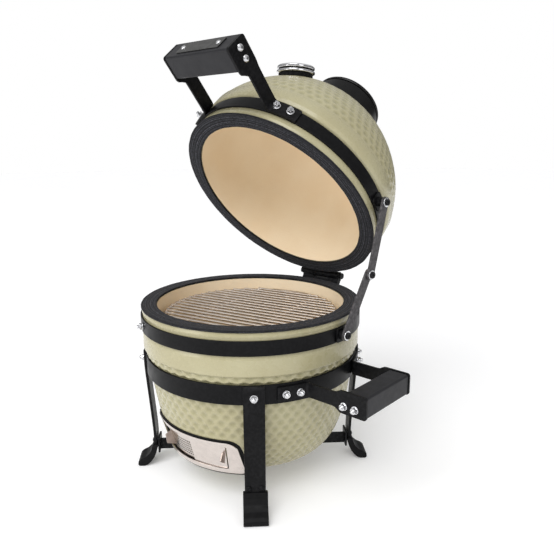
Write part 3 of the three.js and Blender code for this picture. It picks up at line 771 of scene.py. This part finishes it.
def felt_rings():
    section = fillet(rect(MOUTH_R, GASKET_R, 0, GASKET_T), 1.1, 4)
    low = matted(lathe(section, 240), 0.5)
    radius = np.hypot(low[0][:, 0], low[0][:, 1])
    bowl_ring = moved(low, 0, 0, RIM_Z - GASKET_T)
    piece("felt_bowl_gasket", bowl_ring, FELT, ["bowl_gasket"], dent=radius)
    lid_ring = moved(low, 0, 0, LID_Z)
    lid_piece("felt_lid_gasket", lid_ring, FELT, ["lid_gasket"], dent=radius)


# ---- inside the bowl ----
FIRE_BOWL = [
    (74, 57.6), (82, 58.5), (95, 72), (108, 90), (114, 110), (119, 135), (124, 165), (128, 212),
    (128.5, 237.5), (116, 237.5), (115, 212), (111, 165), (105, 130), (97, 110), (66, 110), (66, 101),
    (94, 99), (84, 80), (74, 66),
]
FIRE_CORNERS = [1, 3, 6, 8, 6, 8, 8, 8, 2.5, 2.5, 8, 8, 8, 4, 2, 2, 4, 6, 3]
GRATE_R = 126
GRATE_PITCH = 12.6
GRATE_ROD = 2.0
GRATE_RIM_ROD = 2.5


def fire_bowl():
    body = lathe(fillet(FIRE_BOWL, FIRE_CORNERS, 4), 120)
    notch = prism(fillet(rect(*FIRE_NOTCH), 5), *FRONT_WALL, "Y")
    piece("bare_fire_bowl", cut(body, notch), CERAMIC, ["fire_bowl"])


def charcoal_grate():
    disc = lathe(fillet(rect(8, 92, 110.3, 116.3), 1, 3), 96)
    for k in range(8):
        slot = prism(fillet([(22, -4), (78, -7), (78, 7), (22, 4)], 3, 4), 105, 120, "Z")
        disc = cut(disc, turned_z(slot, 45 * k))
    piece("iron_charcoal_grate", bevelled(disc, 0.7), GRATE_IRON, ["charcoal_grate"])


def grate_wire(half):
    """A straight drawn wire along X with softly rounded ends."""
    profile = [(0, -half), (GRATE_ROD * 0.7, -half + 0.2), (GRATE_ROD, -half + 0.9)]
    profile += [(r, -z) for r, z in profile[::-1]]
    return placed(lathe(profile, 12), Matrix.Rotation(pi / 2, 4, "Y"))


def cooking_grate():
    circle = []
    for a in np.linspace(0, 2 * pi, 13)[:-1]:
        z = GRATE_Z - 2.2 + GRATE_RIM_ROD * sin(a)
        circle.append((GRATE_R + GRATE_RIM_ROD * cos(a), z))
    parts = [lathe(circle, 160)]
    for k in range(-9, 10):
        y = k * GRATE_PITCH
        bar = grate_wire(sqrt((GRATE_R + 0.6) ** 2 - y**2))
        parts.append(moved(bar, 0, y, GRATE_Z))
    for x in (-52, 52):
        bar = turned_z(grate_wire(sqrt(GRATE_R**2 - x**2)), 90)
        parts.append(moved(bar, x, 0, GRATE_Z - 3))
    grate = turned_z(merged(*parts), GRATE_TURN)
    piece("wire_cooking_grate", grate, WIRE, ["cooking_grate"])


# ---- fasteners ----
def hexagon(flats, z0, z1):
    """A hex nut's body, with its corners chamfered round as a real one's are."""
    count = 36
    a = np.arange(count) * 2 * pi / count
    side = flats / 2 / np.cos((a + pi / 6) % (pi / 3) - pi / 6)
    trimmed = np.minimum(side, flats / 2 * 1.03)
    points = []
    for z, r in ((z0, trimmed), (z0 + 0.5, side), (z1 - 0.5, side), (z1, trimmed)):
        points += list(zip(r * np.cos(a), r * np.sin(a), np.full(count, z)))
    ends = [list(range(count))[::-1], list(range(3 * count, 4 * count))]
    return np.array(points), [*quads(4, count), *ends]


def thread(radius, z0, z1):
    """The end of a bolt: ridges of its thread and a chamfered tip."""
    profile = [(0, z0), (radius, z0)]
    z = z0
    while z + THREAD_PITCH < z1 - 0.8:
        for share, r in ((0.15, radius), (0.5, radius - 0.28), (0.85, radius)):
            profile.append((r, z + share * THREAD_PITCH))
        z += THREAD_PITCH
    profile += [(radius, z1 - 0.8), (radius - 0.8, z1), (0, z1)]
    return lathe(profile, 24)


def nut_stack():
    washer = lathe(fillet(rect(2.4, 5.2, GAP, 1.4), 0.25, 2), 36)
    return merged(washer, hexagon(7.9, 1.4, 5.2), thread(2.4, 4.9, 8.6))


def dome_head(radius, height, z0=0.0):
    """A button head with a hex socket sunk in it."""
    a = np.linspace(0.06, 0.9, 7) * pi / 2
    side = [(radius * cos(t), z0 + height * sin(t)) for t in a]
    socket = [(radius * 0.42, z0 + height), (radius * 0.36, z0 + height * 0.5), (0, z0 + height * 0.45)]
    return lathe([(0, z0), (radius, z0), *side, *socket], 30)


def rod(radius, z0, z1, count):
    return lathe([(0, z0), (radius, z0), (radius, z1), (0, z1)], count)


def through_rod(half, centre, axis, head):
    """A rod through a handle bar with the same head or nut stack at each side."""
    end = moved(head, 0, 0, half)
    other = placed(end, Matrix.Rotation(pi, 4, "X"))
    return stood(merged(rod(2.3, -half - 1, half + 1, 16), end, other), centre, axis)


def fastener(name, shape, nodes=(), make=piece, **more):
    make(name, shape, ZINC, nodes, weighted=False, **more)


def band_nut(name, node, radius, angle, height, make=piece):
    nut = stood(nut_stack(), polar(radius, angle, height), polar(1, angle, 0))
    fastener(name, nut, [node], make)


# ---- bands, legs and feet ----
LEG_LINE = [
    (158.2, 188), (157.8, 160), (154.2, 110), (150.8, 62), (150.2, 40), (151.6, 27), (156.2, 17),
    (163.4, 10.4), (171.5, 6.3),
]
FOOT_OUTLINE = [
    (147.6, 35), (147.6, 30), (149.2, 22), (153.2, 13), (158.2, 6.2), (163.5, 1.6), (168, 0), (176, 0),
    (178, 2.5), (177.4, 7.5), (173.5, 11), (166.2, 14.4), (160, 20), (156.2, 27.6), (154.9, 35),
]
FOOT_CORNERS = [1, 4, 5, 6, 5, 4, 2, 1.5, 1.5, 2.5, 5, 5, 5, 4, 1]


def radial_strap(outline, width):
    """A (radius, height) outline with a width, standing at the front."""
    return prism([(-r, z) for r, z in outline], -width / 2, width / 2, "X")


def bands():
    for which, dims in (("hinge", HINGE_BAND), ("stand", STAND_BAND), ("lid", LID_BAND)):
        make = lid_piece if which == "lid" else piece
        section = fillet(rect(*dims), 0.6, 3)
        make(f"band_{which}", lathe(section, 200), COAT, [f"{which}_band"])


def legs():
    line = catmull(LEG_LINE, 5)
    outline = [*offset_line(line, -LEG_T / 2), *offset_line(line, LEG_T / 2)[::-1]]
    strap = bevelled(radial_strap(outline, LEG_W), 0.8, 2, 50)
    screws = [stood(dome_head(4.2, 2.6), (x, -152.1, 40), (0, -1, 0)) for x in (-8.5, 8.5)]
    leg = merged(strap, *screws)
    sleeve = radial_strap(fillet(FOOT_OUTLINE, FOOT_CORNERS, 3), FOOT_W)
    sleeve = bevelled(sleeve, 1.3, 3, 60)
    for where, angle in LEG_ANGLES.items():
        piece(f"strap_leg_{where}", turned_z(leg, angle), COAT, [f"leg_{where}"])
        piece(f"rubber_foot_{where}", turned_z(sleeve, angle), RUBBER, [f"foot_{where}"])
        band_nut(f"nut_leg_{where}", f"leg_bolt_{where}", 160.05, angle, 172)
    band_nut("nut_hinge_band", "band_bolt", 160.8, -25, 238)
    for end in "ab":
        bar = bevelled(cad_shape(f"lower_bar_{end}"), 0.6)
        piece(f"cross_bar_{end}", bar, COAT, [f"lower_bar_{end}"])


# ---- handles ----
def bent_arm(radius, start, plane, reach, narrow, wide, taper):
    """A strap that lies on a band from an angle off the handle's direction, then bends out along it.
    The direction is +X here and the strap's flat side is at +Y. narrow and wide are its heights."""
    corner = STRAP_CORNER
    mid, r = plane + STRAP_T / 2, radius + STRAP_T / 2
    bend = asin(mid / r)
    sweep = np.linspace(radians(start), bend + 0.03, 20)
    arc = [(r * cos(a), r * sin(a)) for a in sweep]
    turn = r * cos(bend)
    knee = []
    for t in np.linspace(0.15, 0.85, 6):
        near = Vector(arc[-1]).lerp((turn, mid), t)
        far = Vector((turn, mid)).lerp((turn + 6, mid), t)
        knee.append(tuple(near.lerp(far, t)))
    straight = [(u, mid) for u in np.linspace(turn + 6, reach - corner, 24)]
    for t in np.linspace(0.15, 1.0, 7) * pi / 2:
        straight.append((reach - corner + corner * sin(t), mid))
    line = np.array([*arc, *knee, *straight])
    along = run_length(line)
    tangent = np.gradient(line, axis=0)
    tangent /= np.linalg.norm(tangent, axis=1)[:, None]
    normal = np.stack([-tangent[:, 1], tangent[:, 0]], 1)
    points = []
    for (x, y), s, (nx, ny) in zip(line, along, normal):
        share = float(smoothstep((x - taper[0]) / (taper[1] - taper[0])))
        low = narrow[0] + (wide[0] - narrow[0]) * share
        high = narrow[1] + (wide[1] - narrow[1]) * share
        short = max(corner - (reach - x), corner - 1 - s, 0.0)
        trim = corner - sqrt(max(0.0, corner**2 - short**2))
        for side, z in ((-1, low + trim), (1, low + trim), (1, high - trim), (-1, high - trim)):
            points.append((x + side * nx * STRAP_T / 2, y + side * ny * STRAP_T / 2, z))
    last = 4 * (len(line) - 1)
    ends = [[3, 2, 1, 0], [last, last + 1, last + 2, last + 3]]
    return bevelled((np.array(points), [*quads(len(line), 4), *ends]), 0.5, 2, 50)


def moulded_bar(outline, half, axis):
    return bevelled(prism(fillet(outline, 3, 5), -half, half, axis), 1.2, 3, 60)


SIDE_PLANE = 48.8
SIDE_ROD_Z = 169
TOP_PLANE = 58.5
TOP_ROD_Z = 283
TOP_RODS = {"inner": -223, "outer": -238}
SIDE_RODS = {"inner": 208, "outer": 224.5}


def side_handle():
    arm = bent_arm(156.1, 34, SIDE_PLANE, 240.5, (164.4, 183.8), (158.5, 188.5), (192, 203))
    piece("side_arm_back", arm, COAT, ["side_handle_arm_back"])
    piece("side_arm_front", mirrored(arm, 1), COAT, ["side_handle_arm_front"])
    bar = moulded_bar(rect(210, 239.5, 159.5, 187.5), SIDE_PLANE - GAP, "Y")
    piece("side_grip", bar, HANDLE, ["side_handle_bar"])
    for name, x in SIDE_RODS.items():
        shape = through_rod(SIDE_PLANE + STRAP_T, (x, 0, SIDE_ROD_Z), (0, 1, 0), nut_stack())
        fastener(f"side_rod_{name}", shape, [f"side_handle_rod_{name}"])
    for name, angle in zip("abcd", (60, 67, 113, 120)):
        band_nut(f"nut_side_{name}", f"side_flange_bolt_{name}", 159.1, angle, 174)


def lid_handle():
    arm = bent_arm(161.1, 36, TOP_PLANE, 248.5, (276, 297), (264.5, 298.5), (202, 213))
    to_front = Matrix.Rotation(-pi / 2, 4, "Z")
    right = placed(arm, to_front)
    lid_piece("lid_arm_right", right, COAT, ["lid_handle_arm_right"])
    lid_piece("lid_arm_left", mirrored(right, 0), COAT, ["lid_handle_arm_left"])
    bar = moulded_bar(rect(-248.3, -215.2, 264.8, 298.3), TOP_PLANE - GAP, "X")
    lid_piece("lid_grip", bar, HANDLE, ["lid_handle_bar"])
    half = TOP_PLANE + STRAP_T + GAP
    for name, y in TOP_RODS.items():
        shape = through_rod(half, (0, y, TOP_ROD_Z), (1, 0, 0), dome_head(5, 3.4))
        fastener(f"lid_rod_{name}", shape, [f"lid_handle_rod_{name}"], lid_piece)
    for name, angle in zip("abcd", (-31.5, -24.5, 24.5, 31.5)):
        band_nut(f"nut_lid_{name}", f"lid_flange_bolt_{name}", 164.1, angle, 287, lid_piece)
    plate = prism(fillet(rect(-40, 40, 271, 292), 2.5), -249.8, -248.6, "Y")
    lid_piece("grip_plate", bevelled(plate, 0.4, 2), PLATE, ["lid_handle_plate"])
    for name, x in (("left", -33), ("right", 33)):
        screw = stood(dome_head(3.6, 1.9), (x, -249.75, 281.5), (0, -1, 0))
        fastener(f"grip_screw_{name}", screw, make=lid_piece)


# ---- draft vent ----
# A plate is its outer and inner offset from the vent's cone and its two end angles. The holes are
# their first and last angle, pitch and radius. A tab is its angle, and its bottom and top height at
# the plate and at the tip.
DOOR_PLATE = (1.9, 2.9, 5, 28.5)
DOOR_TAB = (26.6, (62, 71), (82, 73.5))
SCREEN_PLATE = (3.3, 3.7, -17, 6.5)
SCREEN_HOLES = (-15.4, 5.2, 4.4, 1.6)
SCREEN_TAB = (-16, (61, 66), (85, 80))
PLATE_Z = (51.5, 94.5)
PLAIN_PITCH = 2.4
TAB_T = 1.4
FRAME_RINGS = 6
FRAME_COLUMNS = 240
FRAME_EDGE = 0.35


def on_cone(x, z, offset):
    return (x, -sqrt((vent_r(z) - offset) ** 2 - x * x), z)


def cone_frame(outer, inner, front, back):
    """A curved frame between two outlines. front is its offset from the cone, back gives the inner
    face's offset at a height."""
    outside, inside = around(outer, FRAME_COLUMNS), around(inner, FRAME_COLUMNS)
    shift = np.argmin(np.linalg.norm(inside - outside[0], axis=1))
    inside = np.roll(inside, -shift, axis=0)
    mids = [outside + (inside - outside) * k / FRAME_RINGS for k in range(FRAME_RINGS + 1)]
    points = []
    for k, mid in enumerate(mids):
        drop = FRAME_EDGE if k in (0, FRAME_RINGS) else 0.0
        points += [on_cone(x, z, front + drop) for x, z in mid]
    for mid in mids[::-1]:
        points += [on_cone(x, z, back(z)) for x, z in mid]
    return np.array(points), quads(2 * len(mids), FRAME_COLUMNS, closed=True)


def bowl_offset(z):
    """How far inside the vent's cone the bowl's own surface lies."""
    line = np.array(BOWL_OUTER)
    return float(vent_r(z) - np.interp(z, line[:, 1], line[:, 0])) + 0.8


def vent_plate(outer, inner, start, end, holes=None):
    """A sliding plate, built from eight-sided cells that may each have a hole through them."""
    z0, z1 = PLATE_Z
    points, index, faces = [], {}, []

    def at(angle, z, offset):
        key = (round(angle, 4), round(z, 3), offset)
        if key not in index:
            index[key] = len(points)
            points.append(polar(vent_r(z) - offset, angle, z))
        return index[key]

    degree = degrees(1 / 135)
    pitch = holes[2] if holes else PLAIN_PITCH
    columns = round((end - start) / (pitch * degree))
    rows = round((z1 - z0) / pitch)
    wide, tall = (end - start) / columns, (z1 - z0) / rows
    circle = [(cos(k * pi / 4), sin(k * pi / 4)) for k in range(8)]
    square = [[max(-1, min(1, 1.5 * u)) for u in point] for point in circle]
    square = [(wide / 2 * u, tall / 2 * v) for u, v in square]
    if holes:
        circle = [(holes[3] * degree * u, holes[3] * v) for u, v in circle]
    for i in range(columns):
        for j in range(rows):
            a, z = start + (i + 0.5) * wide, z0 + (j + 0.5) * tall
            open_here = holes and holes[0] < a < holes[1] and 1 < j < rows - 2
            rims = []
            for offset, flip in ((outer, 1), (inner, -1)):
                border = [at(a + p, z + q, offset) for p, q in square]
                if not open_here:
                    faces.append(border[::flip])
                    continue
                rims.append([at(a + p, z + q, offset) for p, q in circle])
                faces += [face[::flip] for face in joined(border, rims[-1])]
            if open_here:
                faces += joined(*rims)
    bm = opened_bmesh((points, faces))
    rim = [e for e in bm.edges if len(e.link_faces) == 1]
    bmesh.ops.bridge_loops(bm, edges=rim)
    return closed_shape(bm)


def pull_tab(inner, angle, low, high):
    """A fin stood on a plate whose inner face is at this offset."""
    root = vent_r(73) - inner + 0.3
    slant = VENT_SLOPE * (high[0] - low[0]) / 2
    outline = [
        (root + slant, high[0]), (root - slant, low[0]), (root + 10, low[1]), (root + 12, high[1])
    ]
    fin = radial_strap(fillet(outline, [0.5, 0.5, 1, 1], 4), TAB_T)
    return turned_z(bevelled(fin, 0.3, 2), angle)


def draft_vent():
    outline = fillet(rect(-81, 81, VENT_Z0, VENT_Z1), [4, 4, 11, 11])
    window = fillet([(-67.9, 54), (63.8, 54), (69.2, 92.5), (-73.7, 92.5)], 3)
    front = cone_frame(outline, window, 0, lambda z: 1.5)
    piece("vent_surround", front, STAINLESS, ["vent_frame"])
    seal_outline = fillet(rect(-84, 84, 44, 102), [5, 5, 13, 13])
    seal_inside = fillet(rect(-76.6, 76.6, 50.1, 95.9), 4)
    seal = cone_frame(seal_outline, seal_inside, 1.8, bowl_offset)
    piece("vent_packing", seal, SEAL, ["vent_seal"])
    piece("sliding_door", vent_plate(*DOOR_PLATE), STAINLESS, ["draft_door"], "door")
    piece("door_tab", pull_tab(DOOR_PLATE[1], *DOOR_TAB), SHADED_TAB_LOOK, body="door")
    screen = vent_plate(*SCREEN_PLATE, SCREEN_HOLES)
    piece("spark_screen", screen, STAINLESS, ["ember_screen"], "screen")
    piece("screen_tab", pull_tab(SCREEN_PLATE[1], *SCREEN_TAB), SHADED_TAB_LOOK, body="screen")


# ---- hinge and stay ----
PIN_R = 2.6
PAD_X = 161.2
PAD_T = 2.6


def pivot_cap(x, at):
    """The outside of a pivot: a black headed pin, and the bright washer under it."""
    washer = lathe(fillet(rect(PIN_R, 6.8, 0, 1.4), 0.4, 2), 32)
    pin = merged(hexagon(8.4, 1.2, 4.0), dome_head(PIN_R, 1.6, 3.6))
    return stood(pin, (x, *at), (1, 0, 0)), stood(washer, (x, *at), (1, 0, 0))


def stay_link(x, start, end):
    (y0, z0), (y1, z1) = start, end
    length, angle = hypot(y1 - y0, z1 - z0), atan2(z1 - z0, y1 - y0)
    w = LINK_W / 2
    half_turn = np.linspace(-0.5, 0.5, 13) * pi
    round_end = [(length + w * cos(a), w * sin(a)) for a in half_turn]
    outline = [*round_end, *[(length - u, -v) for u, v in round_end]]
    c, s = cos(angle), sin(angle)
    placed_outline = [(y0 + u * c - v * s, z0 + u * s + v * c) for u, v in outline]
    return bevelled(prism(placed_outline, x, x + LINK_T, "X"), 0.5, 2, 50)


def stay():
    top = (OPEN @ Vector((0, *STAY_TOP_SHUT))).yz
    low_end = ("low", STAY_LOW, STAY_LOW, Matrix(), STAY_X_LOWER, "base")
    high_end = ("high", STAY_TOP_SHUT, top, OPEN, STAY_X_UPPER, "lid")
    for level, (y, z), at, carry, link_x, body in (low_end, high_end):
        pad = prism(fillet(rect(y - 11, y + 11, z - 9.5, z + 9.5), 3), PAD_X, PAD_X + PAD_T, "X")
        pad = placed(bevelled(pad, 0.4, 2), carry)
        boss = fillet(rect(0, 6.5, PAD_X + 1, link_x - 0.4), [0, 0, 0.6, 0], 3)
        boss = stood(lathe(boss, 40), (0, *at), (1, 0, 0))
        pin, washer = pivot_cap(link_x + LINK_T + 0.3, at)
        shaft = stood(rod(PIN_R, link_x - 1, link_x + 4, 20), (0, *at), (1, 0, 0))
        lug = merged(pad, boss, pin, shaft)
        piece(f"stay_lug_{level}", lug, COAT, [f"stay_bracket_{level}"], body)
        fastener(f"stay_washer_{level}", washer, body=body)
    lower = stay_link(STAY_X_LOWER, STAY_LOW, STAY_ELBOW)
    piece("stay_bar_lower", lower, LINK, ["stay_lower_link"], "stay_lower")
    upper = stay_link(STAY_X_UPPER, top, STAY_ELBOW)
    piece("stay_bar_upper", upper, LINK, ["stay_upper_link"], "stay_upper")
    back_head = stood(dome_head(5, 2.2), (STAY_X_LOWER, *STAY_ELBOW), (-1, 0, 0))
    fastener("stay_elbow_back", back_head, body="stay_lower")
    pin, washer = pivot_cap(STAY_X_UPPER + LINK_T - 0.1, STAY_ELBOW)
    piece("stay_elbow_pin", pin, COAT, body="stay_upper")
    fastener("stay_elbow_washer", washer, body="stay_upper")


def hinge():
    for node, body in (("hinge_base_leaf", "base"), ("hinge_lid_leaf", "lid")):
        shape = bevelled(cad_shape(node), 0.45, 2, 40)
        piece(node.replace("hinge_", "hinge_part_"), shape, COAT, [node], body)


# ---- thermometer and top vent ----
THERMO_TILT = radians(45)
THERMO_AXIS = (0, -sin(THERMO_TILT), cos(THERMO_TILT))
THERMO_AT = (0, -113.0, LID_Z + 148)
THERMO_RIM = [
    (0, 3.2), (25, 3.2), (28.5, 4.6), (28.5, 7.6), (25.2, 8.2), (25.2, 9.8), (27.8, 10.4),
    (27.8, 13.4), (25.8, 15), (24.2, 15), (24.2, 10), (0, 10),
]
THERMO_RIM_CORNERS = [0, 1, 1.2, 1.2, 0.3, 0.3, 1.1, 1.1, 0.8, 0.3, 0.2, 0]
THERMO_STEM = [(0, -46), (2, -46), (3.2, -44), (3.2, 0.5), (0, 0.5)]
THERMO_LENS = [(0, 12.4), (23.9, 12.4), (23.9, 13.6), (12, 14.0), (0, 14.1)]
THERMO_SEALS = ((20, 25.6, -2.6, 3.6), (20, 25.9, 8.3, 9.7))
DIAL_TOP = 11.0
TICK_R = 21.6
FIVE_HOLES_R = 27


def thermometer():
    case = lathe(fillet(THERMO_RIM, THERMO_RIM_CORNERS, 4), 96)
    rings = [lathe(fillet(rect(*section), 0.3, 2), 72) for section in THERMO_SEALS]
    stem = lathe(fillet(THERMO_STEM, [0, 0.5, 0.5, 0, 0], 2), 24)
    ticks = []
    for k in range(31):
        long, half = (3.6, 0.35) if k % 5 == 0 else (2.0, 0.2)
        tick = prism(rect(-half, half, TICK_R - long, TICK_R), DIAL_TOP, DIAL_TOP + 0.12, "Z")
        ticks.append(turned_z(tick, 135 - 9 * k))
    hand = prism([(-0.9, -5), (0.9, -5), (0.3, 17), (-0.3, 17)], 11.5, 11.9, "Z")
    hub = lathe([(0, DIAL_TOP), (2.2, DIAL_TOP), (2.0, 12.1), (0, 12.2)], 24)
    lens = lathe(fillet(THERMO_LENS, [0, 0.2, 0.3, 5, 0], 3), 72)
    for name, shape, look, nodes in (
        ("case", merged(case, stem), CHROME, ["thermometer_case"]),
        ("seals", merged(*rings), SEAL, []),
        ("card", rod(23.9, 10.3, DIAL_TOP, 72), DIAL, ["thermometer_dial"]),
        ("ticks", merged(*ticks), INK, []),
        ("hand", merged(turned_z(hand, 118), hub), POINTER, []),
        ("lens", lens, GLASS, ["thermometer_glass"]),
    ):
        lid_piece(f"dial_{name}", stood(shape, THERMO_AT, THERMO_AXIS), look, nodes, weighted=False)


def petals(shape, turn, low, high):
    """Five round holes cut through a disc."""
    for k in range(5):
        a = radians(turn + 72 * k)
        x, y = FIVE_HOLES_R * cos(a), FIVE_HOLES_R * sin(a)
        shape = cut(shape, moved(rod(8, low, high, 40), x, y, 0))
    return shape


def top_vent():
    drum_line = [
        (0, 28.5), (0, 32.5), (56.2, 32.5), (57.6, 30), (57.6, 4), (57, -4), (53, -4), (53, 8.2),
        (42, 8.2), (38, 12), (38, 28.5),
    ]
    drum = lathe(fillet(drum_line, [0, 0, 1.5, 2, 3, 1, 1, 1, 1, 1, 1], 4), 120)
    screw = merged(rod(3, 32, 42, 24), dome_head(6.5, 3.6, 41.6))
    disc_line = [(3.4, 33), (57, 33), (57.8, 35), (57.2, 38), (53, 41), (3.4, 41)]
    disc = lathe(fillet(disc_line, [0.3, 1, 2, 3, 4, 0.5], 4), 120)
    drum = moved(bevelled(petals(drum, 36, 20, 38), 0.6, 2, 60), 0, 0, CAP_Z)
    lid_piece("cap_drum", drum, CAP_IRON, ["cap_base"])
    fastener("cap_screw", moved(screw, 0, 0, CAP_Z), make=lid_piece)
    disc = moved(bevelled(petals(disc, 0, 30, 44), 0.6, 2, 60), 0, 0, CAP_Z)
    lid_piece("cap_disc", disc, CAP_IRON, ["cap_wheel"], "cap_wheel_body")


glazed_bowl()
glazed_dome()
felt_rings()
fire_bowl()
charcoal_grate()
cooking_grate()
bands()
legs()
side_handle()
lid_handle()
draft_vent()
hinge()
stay()
thermometer()
top_vent()


# ---- floor, light and camera ----
FLOOR_R = 9.0
FLOOR_Z = -0.0002
FLOOR_GLOW = 0.17
SKY_LOW = 0.12
SKY_HIGH = 0.62
SKY_REACH = 0.7
SUN = 1.7
SUN_WIDTH = radians(45)
SUN_WAY = (-0.25, 0.62, -0.74)
MIDDLE = (0.0, 0.0, 0.3)
LIGHTS = {  # where each stands and points in metres, its size, and its power in watts
    "key_light": ((-0.3, -1.9, 2.3), MIDDLE, 1.2, 5),
    "front_light": ((-0.5, -1.7, 0.5), (0.0, 0.05, 0.4), 1.0, 7),
    "fill_light": ((2.2, -0.6, 1.2), MIDDLE, 1.2, 4),
}


def floor():
    look = Look("pale_floor", 0.7, Specular_IOR_Level=0.1)
    look.colour(look.mix(srgb(247, 247, 248), srgb(243, 243, 244), look.noise(400, 2.0)))
    look.put(Emission_Color=WHITE, Emission_Strength=FLOOR_GLOW)
    look.bump(look.noise(3), 0.05, 0.05)
    mesh = bpy.data.meshes.new("studio_floor")
    a = np.linspace(0, 2 * pi, 65)[:-1]
    edge = [(FLOOR_R * cos(t), FLOOR_R * sin(t), FLOOR_Z) for t in a]
    mesh.from_pydata(edge, [], [list(range(64))])
    mesh.materials.append(look.material)
    obj = in_scene("studio_floor", mesh)


def aimed(obj, way):
    obj.rotation_euler = Vector(way).to_track_quat("-Z", "Y").to_euler()


def studio():
    """A white surround, lit by a soft sky that is dim near the horizon and bright overhead."""
    world = bpy.data.worlds.new("soft_studio")
    world.use_nodes = True
    tree = world.node_tree
    way = added(tree, "TexCoord", {}).outputs["Generated"]
    height = added(tree, "SeparateXYZ", {"Vector": way}).outputs["Z"]
    ends = {"From Min": 0.0, "From Max": SKY_REACH, "To Min": SKY_LOW, "To Max": SKY_HIGH}
    sky = added(tree, "MapRange", {"Value": height, **ends}).outputs["Result"]
    seen = added(tree, "LightPath", {}).outputs["Is Camera Ray"]
    level = added(tree, "Mix", {0: seen, 2: sky, 3: 1.0}).outputs[0]
    feed(tree, tree.nodes["Background"], {"Color": WHITE, "Strength": level})
    bpy.context.scene.world = world
    sun = bpy.data.lights.new("soft_sun", "SUN")
    sun.energy = SUN
    sun.angle = SUN_WIDTH
    aimed(in_scene("soft_sun", sun), SUN_WAY)
    for name, (place, target, size, power) in LIGHTS.items():
        light = bpy.data.lights.new(name, "AREA")
        light.shape = "DISK"
        light.size = size
        light.energy = power
        obj = in_scene(name, light)
        obj.location = place
        aimed(obj, Vector(target) - Vector(place))
    bpy.context.scene.view_settings.view_transform = "Standard"


# Degrees, but distance and height in millimetres and the lens in its own.
CAMERA = {
    "azimuth": 44.40, "distance": 857.0, "height": 491.9, "pan": 2.62, "tilt": 13.15, "roll": -0.42,
    "lens": 38.75,
}


def camera():
    """The camera stands at an azimuth from the front and looks a little past the grill's axis."""
    angles = (radians(CAMERA[key]) for key in ("pan", "tilt", "roll", "azimuth"))
    pan, tilt, roll, azimuth = angles
    level = cos(tilt)
    ahead = Vector((sin(pan) * level, cos(pan) * level, -sin(tilt)))
    right = Vector((cos(pan), -sin(pan), 0))
    up = right.cross(ahead)
    across = cos(roll) * right + sin(roll) * up
    upward = -sin(roll) * right + cos(roll) * up
    turn = Matrix((across, upward, -ahead)).transposed().to_4x4()
    place = Matrix.Translation((0, -CAMERA["distance"] * MM, CAMERA["height"] * MM))
    data = bpy.data.cameras.new("photo_camera")
    data.lens = CAMERA["lens"]
    data.sensor_width = 36
    obj = in_scene("photo_camera", data)
    obj.matrix_world = Matrix.Rotation(azimuth, 4, "Z") @ place @ turn
    bpy.context.scene.camera = obj


floor()
studio()
camera()
